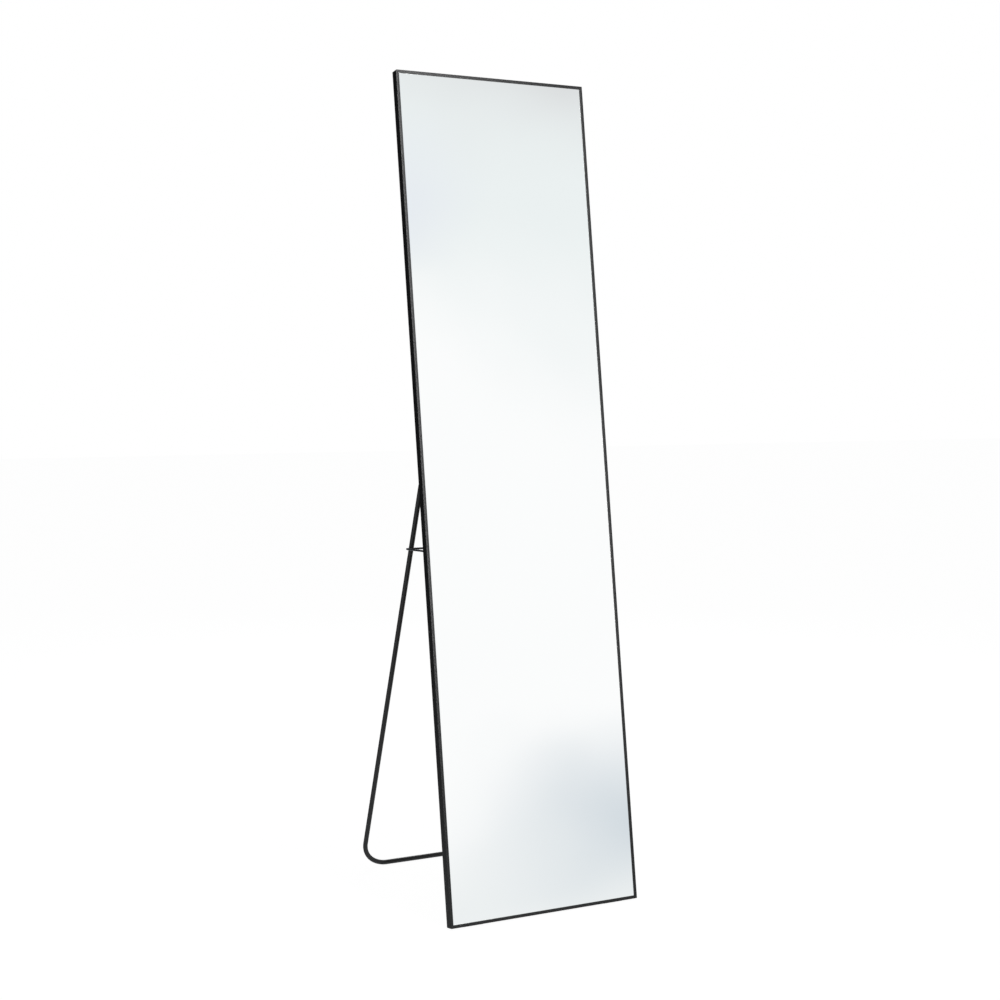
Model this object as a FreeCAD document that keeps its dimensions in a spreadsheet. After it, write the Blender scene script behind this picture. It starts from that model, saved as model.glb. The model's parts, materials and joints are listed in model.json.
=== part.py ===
import FreeCAD, Part
import os
import re

import Sketcher

# A tall framed mirror that leans back on a folding wire stand.
#
# Row frame: +Z up, +Y towards the back, +X to the right of someone who stands
# in front of the mirror and faces it. The origin lies on the floor, in the
# middle of the object's outer box.
#
# Mirror frame, in which every piece of the mirror itself is drawn: x across,
# u up along the face (the Z axis of the sketches) and v from the front of the
# frame to the back (their Y axis). It turns back about X by the lean.

Vector = FreeCAD.Vector

# Point numbers of a sketch's geometry.
ORIGIN = -1
START = 1
END = 2
CENTRE = 3

# Places closer together than this, in millimetres, count as the same.
TOLERANCE = 1e-6

LEFT = -1
RIGHT = 1
SIDES = {"left": LEFT, "right": RIGHT}

# Name, value in millimetres or degrees, and what it is.
DRIVING_SIZES = [
    ("width", 400, "outer width of the frame"),
    ("height", 1600, "outer height of the frame, along its face"),
    ("lean", 8, "how far the mirror leans back from upright"),
    ("leg_angle", 21, "how far the stand's legs lean from upright"),
    ("face_width", 6, "width of the frame's front lip"),
    ("lip", 1.2, "thickness of the front lip"),
    ("side_wall", 1.4, "thickness of the frame's outer and inner side walls"),
    ("flange", 1.2, "thickness of the walls before and behind the rear chamber"),
    ("chamber", 6.5, "clear depth of the rear chamber"),
    ("back_width", 22, "width of the frame's back"),
    ("back_round", 1, "radius of the frame's outer back edge"),
    ("glass", 4, "thickness of the glass"),
    ("glass_bevel", 0.6, "size of the glass's ground front edge"),
    ("glass_gap", 0.6, "room between the glass's edge and the frame's wall"),
    ("tape", 0.9, "thickness of the foam tape"),
    ("tape_width", 25, "width of a strip of foam tape"),
    ("tape_margin", 40, "how far the tape stays inside the glass's edge"),
    ("board", 2.5, "thickness of the backing board"),
    ("key_arm", 60, "length of a corner key's arm from the frame's corner"),
    ("key_gap", 0.1, "room between a corner key and the chamber's walls"),
    ("key_screw_reach", 42, "distance of a key's screws from the frame's corner"),
    ("key_screw_diameter", 4, "diameter of a key's headless screws"),
    ("key_screw_sink", 0.2, "how far they lie below the frame's back"),
    ("screw_diameter", 3, "diameter of the small screws"),
    ("head_diameter", 5.6, "diameter of their heads"),
    ("head_height", 1.6, "height of their heads"),
    ("head_taper", 0.72, "a head's width at its top, as a part of its diameter"),
    ("hole_gap", 0.05, "room round a screw or bolt in its hole"),
    ("pad_thin", 0.8, "thickness of a floor pad at its rear edge"),
    ("pad_length", 40, "length of a floor pad"),
    ("pad_inset", 30, "distance of a floor pad from the frame's side"),
    ("pad_front", 4, "distance of a floor pad from the frame's front"),
    ("hinge_height", 839, "height of the stand's hinge along the mirror"),
    ("leg_inset", 14, "distance of a leg's centre line from the frame's side"),
    ("hinge_offset", 10.5, "distance of the hinge's axis behind the frame"),
    ("bolt_diameter", 5, "diameter of a hinge bolt"),
    ("bolt_head", 9, "diameter of its head"),
    ("bolt_head_height", 2.6, "height of its head"),
    ("bolt_end", 1, "length of the bolt past its nut"),
    ("nut_size", 8, "width across the flats of its nut"),
    ("nut_height", 4, "height of its nut"),
    ("washer", 0.8, "thickness of a nylon washer"),
    ("washer_diameter", 10, "diameter of a nylon washer"),
    ("side_gap", 0.1, "room between a washer and the leg's eye"),
    ("bracket_wall", 1.5, "thickness of a hinge bracket's sheet"),
    ("bracket_half_length", 26, "half of the length of its base"),
    ("bracket_screw_reach", 18, "distance of its screws from the hinge's height"),
    ("plate_round", 2, "radius of a bracket's and a clip's corners"),
    ("rod_diameter", 9.5, "diameter of the stand's rod"),
    ("rod_bend", 55.5, "radius of the rod's bends, on its centre line"),
    ("eye_thickness", 5, "thickness of the rod's flattened end"),
    ("eye_width", 12, "width of the rod's flattened end"),
    ("eye_drop", 12, "length of the flat below the hinge's axis"),
    ("blend_length", 16, "length over which the rod flattens"),
    ("stay_drop", 143, "height of the hinge above the stay's pivot, along the mirror"),
    ("stay_tilt", 88, "angle of the stay's arms from straight down"),
    ("wire_diameter", 4, "diameter of the stay's wire"),
    ("wire_bend", 7, "radius of the wire's far bends, on its centre line"),
    ("pivot_bend", 4, "radius of the wire's bends at its pivots"),
    ("wire_stub", 1.5, "length of the wire past its clip"),
    ("seat_gap", 0.2, "room between the wire and the frame's back"),
    ("leg_gap", 0.5, "room between a leg and the stay's arm beside it"),
    ("stop_gap", 0.3, "room between a leg and the stay's crossbar behind it"),
    ("clip_wall", 1, "thickness of a stay clip's sheet"),
    ("clip_width", 8, "width of a stay clip"),
    ("clip_half_length", 13, "half of its length"),
    ("clip_screw_reach", 8.5, "distance of its screws from the stay's pivot"),
    ("clip_bend", 0.6, "inner radius of its folds"),
    ("bend_gap", 0.3, "room between a clip and the start of the wire's bend"),
    ("bracket_bend", 0.8, "inner radius of the hinge brackets' folds"),
    ("cut_margin", 1, "how far the cut of a mitre reaches past the frame"),
]

# Name and expression of what follows from the sizes above.
DERIVED_SIZES = [
    ("half_width", "width / 2"),
    ("web_front", "lip + glass + tape + board"),
    ("web_back", "web_front + flange"),
    ("frame_depth", "web_back + chamber + flange"),
    ("flange_front", "frame_depth - flange"),
    ("glass_inset", "side_wall + glass_gap"),
    ("pad_rear", "frame_depth - back_round"),
    ("rod_radius", "rod_diameter / 2"),
    ("wire_radius", "wire_diameter / 2"),
    ("frame_rise", "pad_thin * cos(lean) + pad_rear * sin(lean)"),
    ("pin_depth", "frame_depth + hinge_offset"),
    ("hinge_y_from_front", "hinge_height * sin(lean) + pin_depth * cos(lean)"),
    ("hinge_z", "frame_rise + hinge_height * cos(lean) - pin_depth * sin(lean)"),
    ("leg_length", "(hinge_z - rod_radius) / cos(leg_angle)"),
    ("bar_y_from_front", "hinge_y_from_front + leg_length * sin(leg_angle)"),
    ("front_y", "-(bar_y_from_front + rod_radius) / 2"),
    ("hinge_y", "front_y + hinge_y_from_front"),
    ("leg_x", "half_width - leg_inset"),
    ("opening", "lean + leg_angle"),
    ("ear_gap", "eye_thickness + 2 * (washer + side_gap)"),
    ("bracket_width", "ear_gap + 2 * bracket_wall"),
    ("bolt_hole", "bolt_diameter + 2 * hole_gap"),
    ("screw_hole", "screw_diameter + 2 * hole_gap"),
    ("key_screw_hole", "key_screw_diameter + 2 * hole_gap"),
    ("hole_depth", "flange + chamber / 2"),
    ("screw_reach", "flange + chamber / 4"),
    ("blend_drop", "eye_drop + blend_length"),
    ("stay_height", "hinge_height - stay_drop"),
    ("stay_offset", "wire_radius + seat_gap"),
    ("stay_depth", "frame_depth + stay_offset"),
    ("stay_y", "front_y + stay_height * sin(lean) + stay_depth * cos(lean)"),
    ("stay_z", "frame_rise + stay_height * cos(lean) - stay_depth * sin(lean)"),
    ("crossbar_offset", "rod_radius + wire_radius + stop_gap"),
    ("stay_reach", "(hinge_offset - stay_offset) * cos(opening) + stay_drop * sin(opening)"),
    ("stay_length", "(crossbar_offset + stay_reach) / sin(stay_tilt - leg_angle)"),
    ("arm_inset", "leg_inset - rod_radius - leg_gap - wire_radius"),
    ("arm_x", "half_width - arm_inset"),
    ("clip_bore", "wire_diameter + 2 * hole_gap"),
    ("clip_hump", "clip_bore / 2 + clip_wall"),
    ("clip_near", "arm_inset + pivot_bend + bend_gap"),
    ("clip_far", "clip_near + clip_width"),
    ("wire_end_x", "half_width - clip_far - wire_stub"),
]

NAMES = {name for name, *rest in DRIVING_SIZES + DERIVED_SIZES}

doc = FreeCAD.newDocument("LeaningMirror")
sheet = doc.addObject("Spreadsheet::Sheet", "Sizes")
sub_parts = []


def fill_sheet():
    """Write the driving sizes and what follows from them into the sheet."""
    row = 0
    for name, number, meaning in DRIVING_SIZES:
        row += 1
        sheet.set(f"A{row}", meaning)
        sheet.set(f"B{row}", str(number))
        sheet.setAlias(f"B{row}", name)
    for name, expression in DERIVED_SIZES:
        row += 1
        sheet.set(f"B{row}", f"={expression}")
        sheet.setAlias(f"B{row}", name)
    doc.recompute()


def bound(expression):
    """The expression with the sheet's name before each of the sheet's sizes."""
    return re.sub(r"[a-z]\w*", lambda word: f"Sizes.{word[0]}" if word[0] in NAMES else word[0], expression)


def value(expression):
    """The number that an expression comes to now."""
    result = sheet.evalExpression(bound(expression))
    return float(getattr(result, "Value", result))


def bind(thing, **expressions):
    """Set properties from expressions; a double underscore stands for a dot."""
    for name, expression in expressions.items():
        thing.setExpression(name.replace("__", "."), bound(expression))


def place(thing, axis, angle, x="0", y="0", z="0"):
    """Turn a thing about an axis and move it, both by expressions."""
    thing.Placement = FreeCAD.Placement(Vector(0, 0, 0), axis, 0)
    bind(thing, Placement__Base__x=x, Placement__Base__y=y, Placement__Base__z=z)
    bind(thing, Placement__Rotation__Angle=angle)


def finish(thing, name, carrier):
    """Name a sub-part and put it where its carrier holds it."""
    thing.Label = name
    if carrier == "mirror":
        place(thing, Vector(1, 0, 0), "-lean", y="front_y", z="frame_rise")
    if carrier == "stand":
        place(thing, Vector(1, 0, 0), "leg_angle", y="hinge_y", z="hinge_z")
    if carrier == "stay":
        place(thing, Vector(1, 0, 0), "stay_tilt", y="stay_y", z="stay_z")
    sub_parts.append(thing)


# ---- sketches ----


def new_sketch(body, plane, offset="0"):
    """A sketch on one of the body's own planes, moved along that plane's axis."""
    sketch = body.newObject("Sketcher::SketchObject", "Sketch")
    support = next(item for item in body.Origin.OriginFeatures if item.Role == plane)
    sketch.AttachmentSupport = [(support, "")]
    sketch.MapMode = "FlatFace"
    # The XZ plane faces -Y, so there an offset towards +Y counts backwards.
    sign = "-" if plane == "XZ_Plane" else ""
    bind(sketch, AttachmentOffset__Base__z=f"{sign}({offset})")
    return sketch


def pin(sketch, curve, point, x, y):
    """Hold a point of a curve at two expressions from the sketch's origin."""
    for kind, expression in (("DistanceX", x), ("DistanceY", y)):
        constraint = Sketcher.Constraint(kind, ORIGIN, START, curve, point, value(expression))
        index = sketch.addConstraint(constraint)
        sketch.setExpression(f"Constraints[{index}]", bound(expression))


def limit(sketch, kind, curve, expression):
    """Give a curve a radius or a diameter from an expression."""
    index = sketch.addConstraint(Sketcher.Constraint(kind, curve, value(expression)))
    sketch.setExpression(f"Constraints[{index}]", bound(expression))


def join(sketch, first, first_end, second, second_end, kind="Coincident"):
    sketch.addConstraint(Sketcher.Constraint(kind, first, first_end, second, second_end))


def corner(point):
    """The place of a pair of expressions in a sketch."""
    return Vector(value(point[0]), value(point[1]), 0)


def polygon(sketch, points):
    """A closed outline of straight lines through pairs of expressions."""
    corners = [corner(point) for point in points]
    ends = corners[1:] + corners[:1]
    lines = [sketch.addGeometry(Part.LineSegment(a, b)) for a, b in zip(corners, ends)]
    for line, following in zip(lines, lines[1:] + lines[:1]):
        join(sketch, line, END, following, START)
    for line, (x, y) in zip(lines, points):
        pin(sketch, line, START, x, y)


def rectangle(sketch, x_low, x_high, y_low, y_high):
    polygon(sketch, [(x_low, y_low), (x_high, y_low), (x_high, y_high), (x_low, y_high)])


def circle(sketch, x, y, diameter):
    ring = Part.Circle(corner((x, y)), Vector(0, 0, 1), value(diameter) / 2)
    index = sketch.addGeometry(ring)
    pin(sketch, index, CENTRE, x, y)
    limit(sketch, "Diameter", index, diameter)


def end_at(sketch, curve, place_of_end):
    """Which end of a curve lies at a place, because an arc may run either way."""
    near_start = sketch.getPoint(curve, START).distanceToPoint(place_of_end) < TOLERANCE
    return START if near_start else END


def tab(sketch, root, centre, half_width, way):
    """A strip from its root to a round end about a centre.

    way is the direction of the strip in the sketch, as (1, 0), (0, 1) and so on.
    """
    along = Vector(way[0], way[1], 0)
    across = Vector(-way[1], way[0], 0)
    reach = value(half_width)
    roots = []
    for side in (1, -1):
        x = f"({root[0]}) + {side * across.x} * ({half_width})"
        y = f"({root[1]}) + {side * across.y} * ({half_width})"
        roots.append((x, y))
    middle = corner(centre)
    tips = [middle + across * reach, middle - across * reach]
    cap = sketch.addGeometry(Part.Arc(tips[0], middle + along * reach, tips[1]))
    pin(sketch, cap, CENTRE, centre[0], centre[1])
    limit(sketch, "Radius", cap, half_width)
    edges = []
    for point, tip in zip(roots, tips):
        edge = sketch.addGeometry(Part.LineSegment(corner(point), tip))
        pin(sketch, edge, START, point[0], point[1])
        join(sketch, edge, END, cap, end_at(sketch, cap, tip), "Tangent")
        edges.append(edge)
    base = sketch.addGeometry(Part.LineSegment(corner(roots[0]), corner(roots[1])))
    join(sketch, base, START, edges[0], START)
    join(sketch, base, END, edges[1], START)


def bent_path(sketch, points, bends):
    """An open path of straight runs with a round bend at each point between."""
    places = [corner(point) for point in points]
    starts = [points[0]]
    stops = []
    middles = []
    for index, bend in enumerate(bends, start=1):
        x, y = points[index]
        before = (places[index] - places[index - 1]).normalize()
        after = (places[index + 1] - places[index]).normalize()
        stops.append((f"({x}) - {before.x:.0f} * ({bend})", f"({y}) - {before.y:.0f} * ({bend})"))
        starts.append((f"({x}) + {after.x:.0f} * ({bend})", f"({y}) + {after.y:.0f} * ({bend})"))
        centre = places[index] + (after - before) * value(bend)
        middles.append(centre + (before - after).normalize() * value(bend))
    stops.append(points[-1])
    lines = []
    for start, stop in zip(starts, stops):
        line = sketch.addGeometry(Part.LineSegment(corner(start), corner(stop)))
        pin(sketch, line, START, start[0], start[1])
        pin(sketch, line, END, stop[0], stop[1])
        lines.append(line)
    for index, bend in enumerate(bends):
        first, last = corner(stops[index]), corner(starts[index + 1])
        curve = sketch.addGeometry(Part.Arc(first, middles[index], last))
        join(sketch, lines[index], END, curve, end_at(sketch, curve, first))
        join(sketch, lines[index + 1], START, curve, end_at(sketch, curve, last))
        limit(sketch, "Radius", curve, bend)


# ---- features ----


def new_body():
    return doc.addObject("PartDesign::Body", "Body")


def pad(body, sketch, length):
    feature = body.newObject("PartDesign::Pad", "Pad")
    feature.Profile = sketch
    bind(feature, Length=length)
    doc.recompute()
    return feature


def pocket(body, sketch, depth=None, reverse=False):
    """Cut a sketch out, against its plane's axis, to a depth or right through."""
    before = body.Shape.Volume
    feature = body.newObject("PartDesign::Pocket", "Pocket")
    feature.Profile = sketch
    feature.Reversed = reverse
    if depth is None:
        feature.Type = "ThroughAll"
    else:
        bind(feature, Length=depth)
    doc.recompute()
    if not body.Shape.Volume < before:
        raise RuntimeError(f"a cut of {body.Label} removes nothing")


def round_edges(body, base, names, radius):
    feature = body.newObject("PartDesign::Fillet", "Fillet")
    feature.Base = (base, names)
    bind(feature, Radius=radius)
    doc.recompute()


def edges_along(shape, direction):
    """Names of the straight edges of a shape that run along a direction."""
    names = []
    for index, edge in enumerate(shape.Edges, start=1):
        run = edge.Vertexes[-1].Point - edge.Vertexes[0].Point
        if run.Length > 0 and abs(abs(run.normalize().dot(direction)) - 1) < TOLERANCE:
            names.append(f"Edge{index}")
    return names


def pipe(body, path, section):
    """Sweep the section's outline along the path."""
    feature = body.newObject("PartDesign::AdditivePipe", "Pipe")
    feature.Profile = section
    feature.Spine = path
    doc.recompute()


def drill_back(body, places, diameter, depth=None, face="frame_depth"):
    """Holes from a face that looks backwards, at pairs of x and u."""
    sketch = new_sketch(body, "XZ_Plane", face)
    for x, u in places:
        circle(sketch, x, u, diameter)
    pocket(body, sketch, depth, reverse=True)


def plate_body(x_low, x_high, u_low, u_high, v_front, v_rear):
    """A flat plate parallel to the mirror's face, between two depths."""
    body = new_body()
    sketch = new_sketch(body, "XZ_Plane", v_rear)
    rectangle(sketch, x_low, x_high, u_low, u_high)
    return body, pad(body, sketch, f"({v_rear}) - ({v_front})")


# ---- small hardware, from solids of revolution ----


def solid(kind, axis, angle, spot, **sizes):
    """A primitive whose axis is turned from +Z, at a spot of expressions."""
    thing = doc.addObject(f"Part::{kind}", kind)
    bind(thing, **sizes)
    place(thing, axis, angle, *spot)
    return thing


def fused(*things):
    union = doc.addObject("Part::MultiFuse", "Union")
    union.Shapes = list(things)
    return union


def holed(outer, hole):
    cut = doc.addObject("Part::Cut", "Ring")
    cut.Base = outer
    cut.Tool = hole
    return cut


def group(things):
    """Several separate solids that share one node."""
    compound = doc.addObject("Part::Compound", "Group")
    compound.Links = things
    return compound


def screw(x, u, seat, length):
    """A pan-head screw driven forwards into the mirror's back."""
    across = Vector(1, 0, 0)
    spot = (x, seat, u)
    top = "head_diameter / 2 * head_taper"
    head = solid("Cone", across, "-90", spot, Radius1="head_diameter / 2", Radius2=top, Height="head_height")
    shank = solid("Cylinder", across, "90", spot, Radius="screw_diameter / 2", Height=length)
    return fused(head, shank)


def key_screw(x, u):
    """A headless screw through the frame's back into a corner key."""
    spot = (x, "frame_depth - key_screw_sink", u)
    length = "flange + chamber - 2 * key_gap - key_screw_sink"
    return solid("Cylinder", Vector(1, 0, 0), "90", spot, Radius="key_screw_diameter / 2", Height=length)


def ring(x, y, z, way, outer, bore, height):
    """A washer with its axis along X, that grows from x the way it is given."""
    up = Vector(0, 1, 0)
    turn = f"{90 * way}"
    spot = (x, y, z)
    disc = solid("Cylinder", up, turn, spot, Radius=f"({outer}) / 2", Height=height)
    hole = solid("Cylinder", up, turn, spot, Radius=f"({bore}) / 2", Height=height)
    return holed(disc, hole)


# ---- frame ----


def rail_section(sketch, spot):
    """The extrusion's outline and chamber; spot places an inset and a depth."""
    outline = [
        ("0", "0"),
        ("face_width", "0"),
        ("face_width", "lip"),
        ("side_wall", "lip"),
        ("side_wall", "web_front"),
        ("back_width", "web_front"),
        ("back_width", "frame_depth"),
        ("0", "frame_depth"),
    ]
    chamber = [
        ("side_wall", "web_back"),
        ("back_width - side_wall", "web_back"),
        ("back_width - side_wall", "flange_front"),
        ("side_wall", "flange_front"),
    ]
    polygon(sketch, [spot(inset, depth) for inset, depth in outline])
    polygon(sketch, [spot(inset, depth) for inset, depth in chamber])


def round_back_edge(body, base, direction, outer):
    """Round the long edge where the outer side meets the back."""
    names = []
    for name in edges_along(base.Shape, direction):
        edge = base.Shape.getElement(name)
        middle = edge.CenterOfMass
        if outer(middle) and abs(middle.y - value("frame_depth")) < TOLERANCE:
            names.append(name)
    round_edges(body, base, names, "back_round")


def mitre(body, corner_x, corner_u, side, rise, keep):
    """Cut 45 degrees off an end, to the frame's corner.

    side and rise point from the corner into the frame; keep says which rail stays.
    """
    before = "(-cut_margin)"
    past = "(back_width + cut_margin)"
    if keep == "stile":
        third = (past, before)
    else:
        third = (before, past)
    triangle = [(before, before), third, (past, past)]
    sketch = new_sketch(body, "XZ_Plane", before)
    points = []
    for inward, upward in triangle:
        points.append((f"({corner_x}) + {side} * {inward}", f"({corner_u}) + {rise} * {upward}"))
    polygon(sketch, points)
    pocket(body, sketch)


def make_stile(name, side):
    """One upright of the frame; side says which way is out."""
    body = new_body()
    outer = f"{side} * half_width"
    section = new_sketch(body, "XY_Plane")
    rail_section(section, lambda inset, depth: (f"{outer} - {side} * ({inset})", depth))
    bar = pad(body, section, "height")
    edge_x = value(outer)
    round_back_edge(body, bar, Vector(0, 0, 1), lambda middle: abs(middle.x - edge_x) < TOLERANCE)
    mitre(body, outer, "0", -side, 1, "stile")
    mitre(body, outer, "height", -side, -1, "stile")
    key_x = f"{side} * (half_width - back_width / 2)"
    leg_x = f"{side} * leg_x"
    pivot_x = f"{side} * (half_width - clip_near - clip_width / 2)"
    key_holes = [(key_x, "key_screw_reach"), (key_x, "height - key_screw_reach")]
    drill_back(body, key_holes, "key_screw_hole", "hole_depth")
    holes = [
        (leg_x, "hinge_height + bracket_screw_reach"),
        (leg_x, "hinge_height - bracket_screw_reach"),
        (pivot_x, "stay_height + clip_screw_reach"),
        (pivot_x, "stay_height - clip_screw_reach"),
    ]
    drill_back(body, holes, "screw_hole", "hole_depth")
    finish(body, name, "mirror")


def make_cross_rail(name, edge_u, rise):
    """The top or bottom of the frame; rise points from its outer edge inwards."""
    body = new_body()
    section = new_sketch(body, "YZ_Plane", "-half_width")
    rail_section(section, lambda inset, depth: (depth, f"{edge_u} + {rise} * ({inset})"))
    bar = pad(body, section, "width")
    edge_z = value(edge_u)
    round_back_edge(body, bar, Vector(1, 0, 0), lambda middle: abs(middle.z - edge_z) < TOLERANCE)
    mitre(body, "-half_width", edge_u, 1, rise, "rail")
    mitre(body, "half_width", edge_u, -1, rise, "rail")
    key_u = f"{edge_u} + {rise} * back_width / 2"
    holes = [(f"{side} * (half_width - key_screw_reach)", key_u) for side in (LEFT, RIGHT)]
    drill_back(body, holes, "key_screw_hole", "hole_depth")
    finish(body, name, "mirror")


def make_corner_key(name, side, edge_u, rise):
    """An L-shaped key that sits in the chambers of two rails at a corner."""
    body = new_body()
    near = "side_wall + key_gap"
    far = "back_width - side_wall - key_gap"
    outline = [(near, near), ("key_arm", near), ("key_arm", far), (far, far), (far, "key_arm"), (near, "key_arm")]
    points = []
    for inward, upward in outline:
        points.append((f"{side} * (half_width - ({inward}))", f"{edge_u} + {rise} * ({upward})"))
    rear = "flange_front - key_gap"
    sketch = new_sketch(body, "XZ_Plane", rear)
    polygon(sketch, points)
    pad(body, sketch, "chamber - 2 * key_gap")
    middle = "back_width / 2"
    holes = [
        (f"{side} * (half_width - key_screw_reach)", f"{edge_u} + {rise} * {middle}"),
        (f"{side} * (half_width - {middle})", f"{edge_u} + {rise} * key_screw_reach"),
    ]
    drill_back(body, holes, "key_screw_hole", face=rear)
    finish(body, name, "mirror")
    return holes


def make_frame():
    for name, side in SIDES.items():
        make_stile(f"{name}_stile", side)
    key_holes = []
    for level, edge_u, rise in (("bottom", "0", 1), ("top", "height", -1)):
        make_cross_rail(f"{level}_rail", edge_u, rise)
        for name, side in SIDES.items():
            key_holes += make_corner_key(f"corner_key_{level}_{name}", side, edge_u, rise)
    finish(group([key_screw(x, u) for x, u in key_holes]), "corner_key_screws", "mirror")


# ---- glass and what backs it ----


def make_glass():
    side = "(half_width - glass_inset)"
    bottom = "glass_inset"
    top = "height - glass_inset"
    body, slab = plate_body(f"-{side}", side, bottom, top, "lip", "lip + glass")
    bevel = body.newObject("PartDesign::Chamfer", "Bevel")
    bevel.Base = (slab, edges_in_plane(slab.Shape, value("lip")))
    bind(bevel, Size="glass_bevel")
    doc.recompute()
    finish(body, "mirror_glass", "mirror")


def edges_in_plane(shape, depth):
    """Names of the edges that lie wholly at one depth."""
    names = []
    for index, edge in enumerate(shape.Edges, start=1):
        if all(abs(vertex.Y - depth) < TOLERANCE for vertex in edge.Vertexes):
            names.append(f"Edge{index}")
    return names


def make_tape():
    """Three upright strips of foam tape between the glass and its board."""
    edge = "(half_width - tape_margin - tape_width / 2)"
    strips = []
    for middle in (f"-{edge}", "0", edge):
        strip = doc.addObject("Part::Box", "Strip")
        bind(strip, Length="tape_width", Width="tape", Height="height - 2 * tape_margin")
        place(strip, Vector(0, 0, 1), "0", f"{middle} - tape_width / 2", "lip + glass", "tape_margin")
        strips.append(strip)
    finish(group(strips), "foam_tape", "mirror")


def make_board():
    side = "(half_width - glass_inset)"
    top = "height - glass_inset"
    body, _ = plate_body(f"-{side}", side, "glass_inset", top, "lip + glass + tape", "web_front")
    finish(body, "backing_board", "mirror")


def make_floor_pad(name, side):
    """A rubber pad under the bottom rail, ground flat to the floor."""
    body = new_body()
    start = "-half_width + pad_inset" if side == LEFT else "half_width - pad_inset - pad_length"
    sketch = new_sketch(body, "YZ_Plane", start)
    floor = "-(frame_rise - {0} * sin(lean)) / cos(lean)"
    polygon(sketch, [
        ("pad_front", "0"),
        ("pad_rear", "0"),
        ("pad_rear", floor.format("pad_rear")),
        ("pad_front", floor.format("pad_front")),
    ])
    pad(body, sketch, "pad_length")
    finish(body, name, "mirror")


# ---- the stand's hinge ----


def make_hinge_bracket(name, side):
    """A folded bracket whose two ears hold the leg's eye between them."""
    middle = f"{side} * leg_x"
    half = "bracket_width / 2"
    base_top = "frame_depth + bracket_wall"
    low = "hinge_height - bracket_half_length"
    high = "hinge_height + bracket_half_length"
    body, base = plate_body(
        f"{middle} - {half}", f"{middle} + {half}", low, high, "frame_depth", base_top
    )
    round_edges(body, base, edges_along(base.Shape, Vector(0, 1, 0)), "plate_round")
    ears = new_sketch(body, "YZ_Plane", f"{middle} - {half}")
    tab(ears, ("frame_depth", "hinge_height"), ("pin_depth", "hinge_height"), "eye_width / 2", (1, 0))
    pad(body, ears, "bracket_width")
    gap = new_sketch(body, "XY_Plane", high)
    rectangle(gap, f"{middle} - ear_gap / 2", f"{middle} + ear_gap / 2", base_top, "pin_depth + eye_width")
    pocket(body, gap)
    folds = [corner((f"{middle} + {way} * ear_gap / 2", base_top)) for way in (1, -1)]
    soften_folds(body, Vector(0, 0, 1), folds, "bracket_bend")
    bolt_hole = new_sketch(body, "YZ_Plane", f"{middle} + {half}")
    circle(bolt_hole, "pin_depth", "hinge_height", "bolt_hole")
    pocket(body, bolt_hole)
    places = [(middle, f"hinge_height + {way} * bracket_screw_reach") for way in (1, -1)]
    drill_back(body, places, "screw_hole", face=base_top)
    finish(body, name, "mirror")
    return [screw(x, u, base_top, "bracket_wall + screw_reach") for x, u in places]


def soften_folds(body, direction, spots, radius):
    """Round the edges along a direction that pass through the spots beside it."""
    names = []
    for name in edges_along(body.Shape, direction):
        middle = body.Shape.getElement(name).CenterOfMass
        beside = middle - direction * middle.dot(direction)
        if any(beside.distanceToPoint(spot) < TOLERANCE for spot in spots):
            names.append(name)
    round_edges(body, body.Tip, names, radius)


def make_hinge_bolt(name, side):
    """A button-head bolt, put in from the outer side."""
    up = Vector(0, 1, 0)
    seat = (f"{side} * (leg_x + bracket_width / 2)", "pin_depth", "hinge_height")
    top = "bolt_head / 2 * head_taper"
    head = solid("Cone", up, f"{90 * side}", seat, Radius1="bolt_head / 2", Radius2=top, Height="bolt_head_height")
    reach = "bracket_width + nut_height + bolt_end"
    shank = solid("Cylinder", up, f"{-90 * side}", seat, Radius="bolt_diameter / 2", Height=reach)
    finish(fused(head, shank), name, "mirror")


def make_hinge_nut(name, side):
    up = Vector(0, 1, 0)
    seat = (f"{side} * (leg_x - bracket_width / 2)", "pin_depth", "hinge_height")
    turn = f"{-90 * side}"
    hexagon = solid("Prism", up, turn, seat, Circumradius="nut_size / sqrt(3)", Height="nut_height")
    hexagon.Polygon = 6
    bore = solid("Cylinder", up, turn, seat, Radius="bolt_hole / 2", Height="nut_height")
    finish(holed(hexagon, bore), name, "mirror")


def make_hinge_washers():
    """Two nylon washers in each hinge, against the bracket's ears."""
    washers = []
    for side in (LEFT, RIGHT):
        for way in (1, -1):
            face = f"{side} * leg_x + {way} * ear_gap / 2"
            washers.append(ring(
                face, "pin_depth", "hinge_height", -way, "washer_diameter", "bolt_hole", "washer"
            ))
    finish(group(washers), "hinge_washers", "mirror")


def make_hinges():
    screws = []
    for name, side in SIDES.items():
        screws += make_hinge_bracket(f"hinge_bracket_{name}", side)
        make_hinge_bolt(f"hinge_bolt_{name}", side)
        make_hinge_nut(f"hinge_nut_{name}", side)
    finish(group(screws), "hinge_bracket_screws", "mirror")
    make_hinge_washers()


# ---- the stand ----


def make_stand():
    """One rod bent to a U, whose two ends are flattened to eyes.

    Drawn with the hinge's axis along X through the origin and the legs down -Z.
    """
    body = new_body()
    path = new_sketch(body, "XZ_Plane")
    points = [
        ("-leg_x", "-blend_drop"),
        ("-leg_x", "-leg_length"),
        ("leg_x", "-leg_length"),
        ("leg_x", "-blend_drop"),
    ]
    bent_path(path, points, ["rod_bend", "rod_bend"])
    section = new_sketch(body, "XY_Plane", "-blend_drop")
    circle(section, "-leg_x", "0", "rod_diameter")
    pipe(body, path, section)
    for side in (LEFT, RIGHT):
        flatten_end(body, f"{side} * leg_x")
    finish(body, "stand_rod", "stand")


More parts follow.
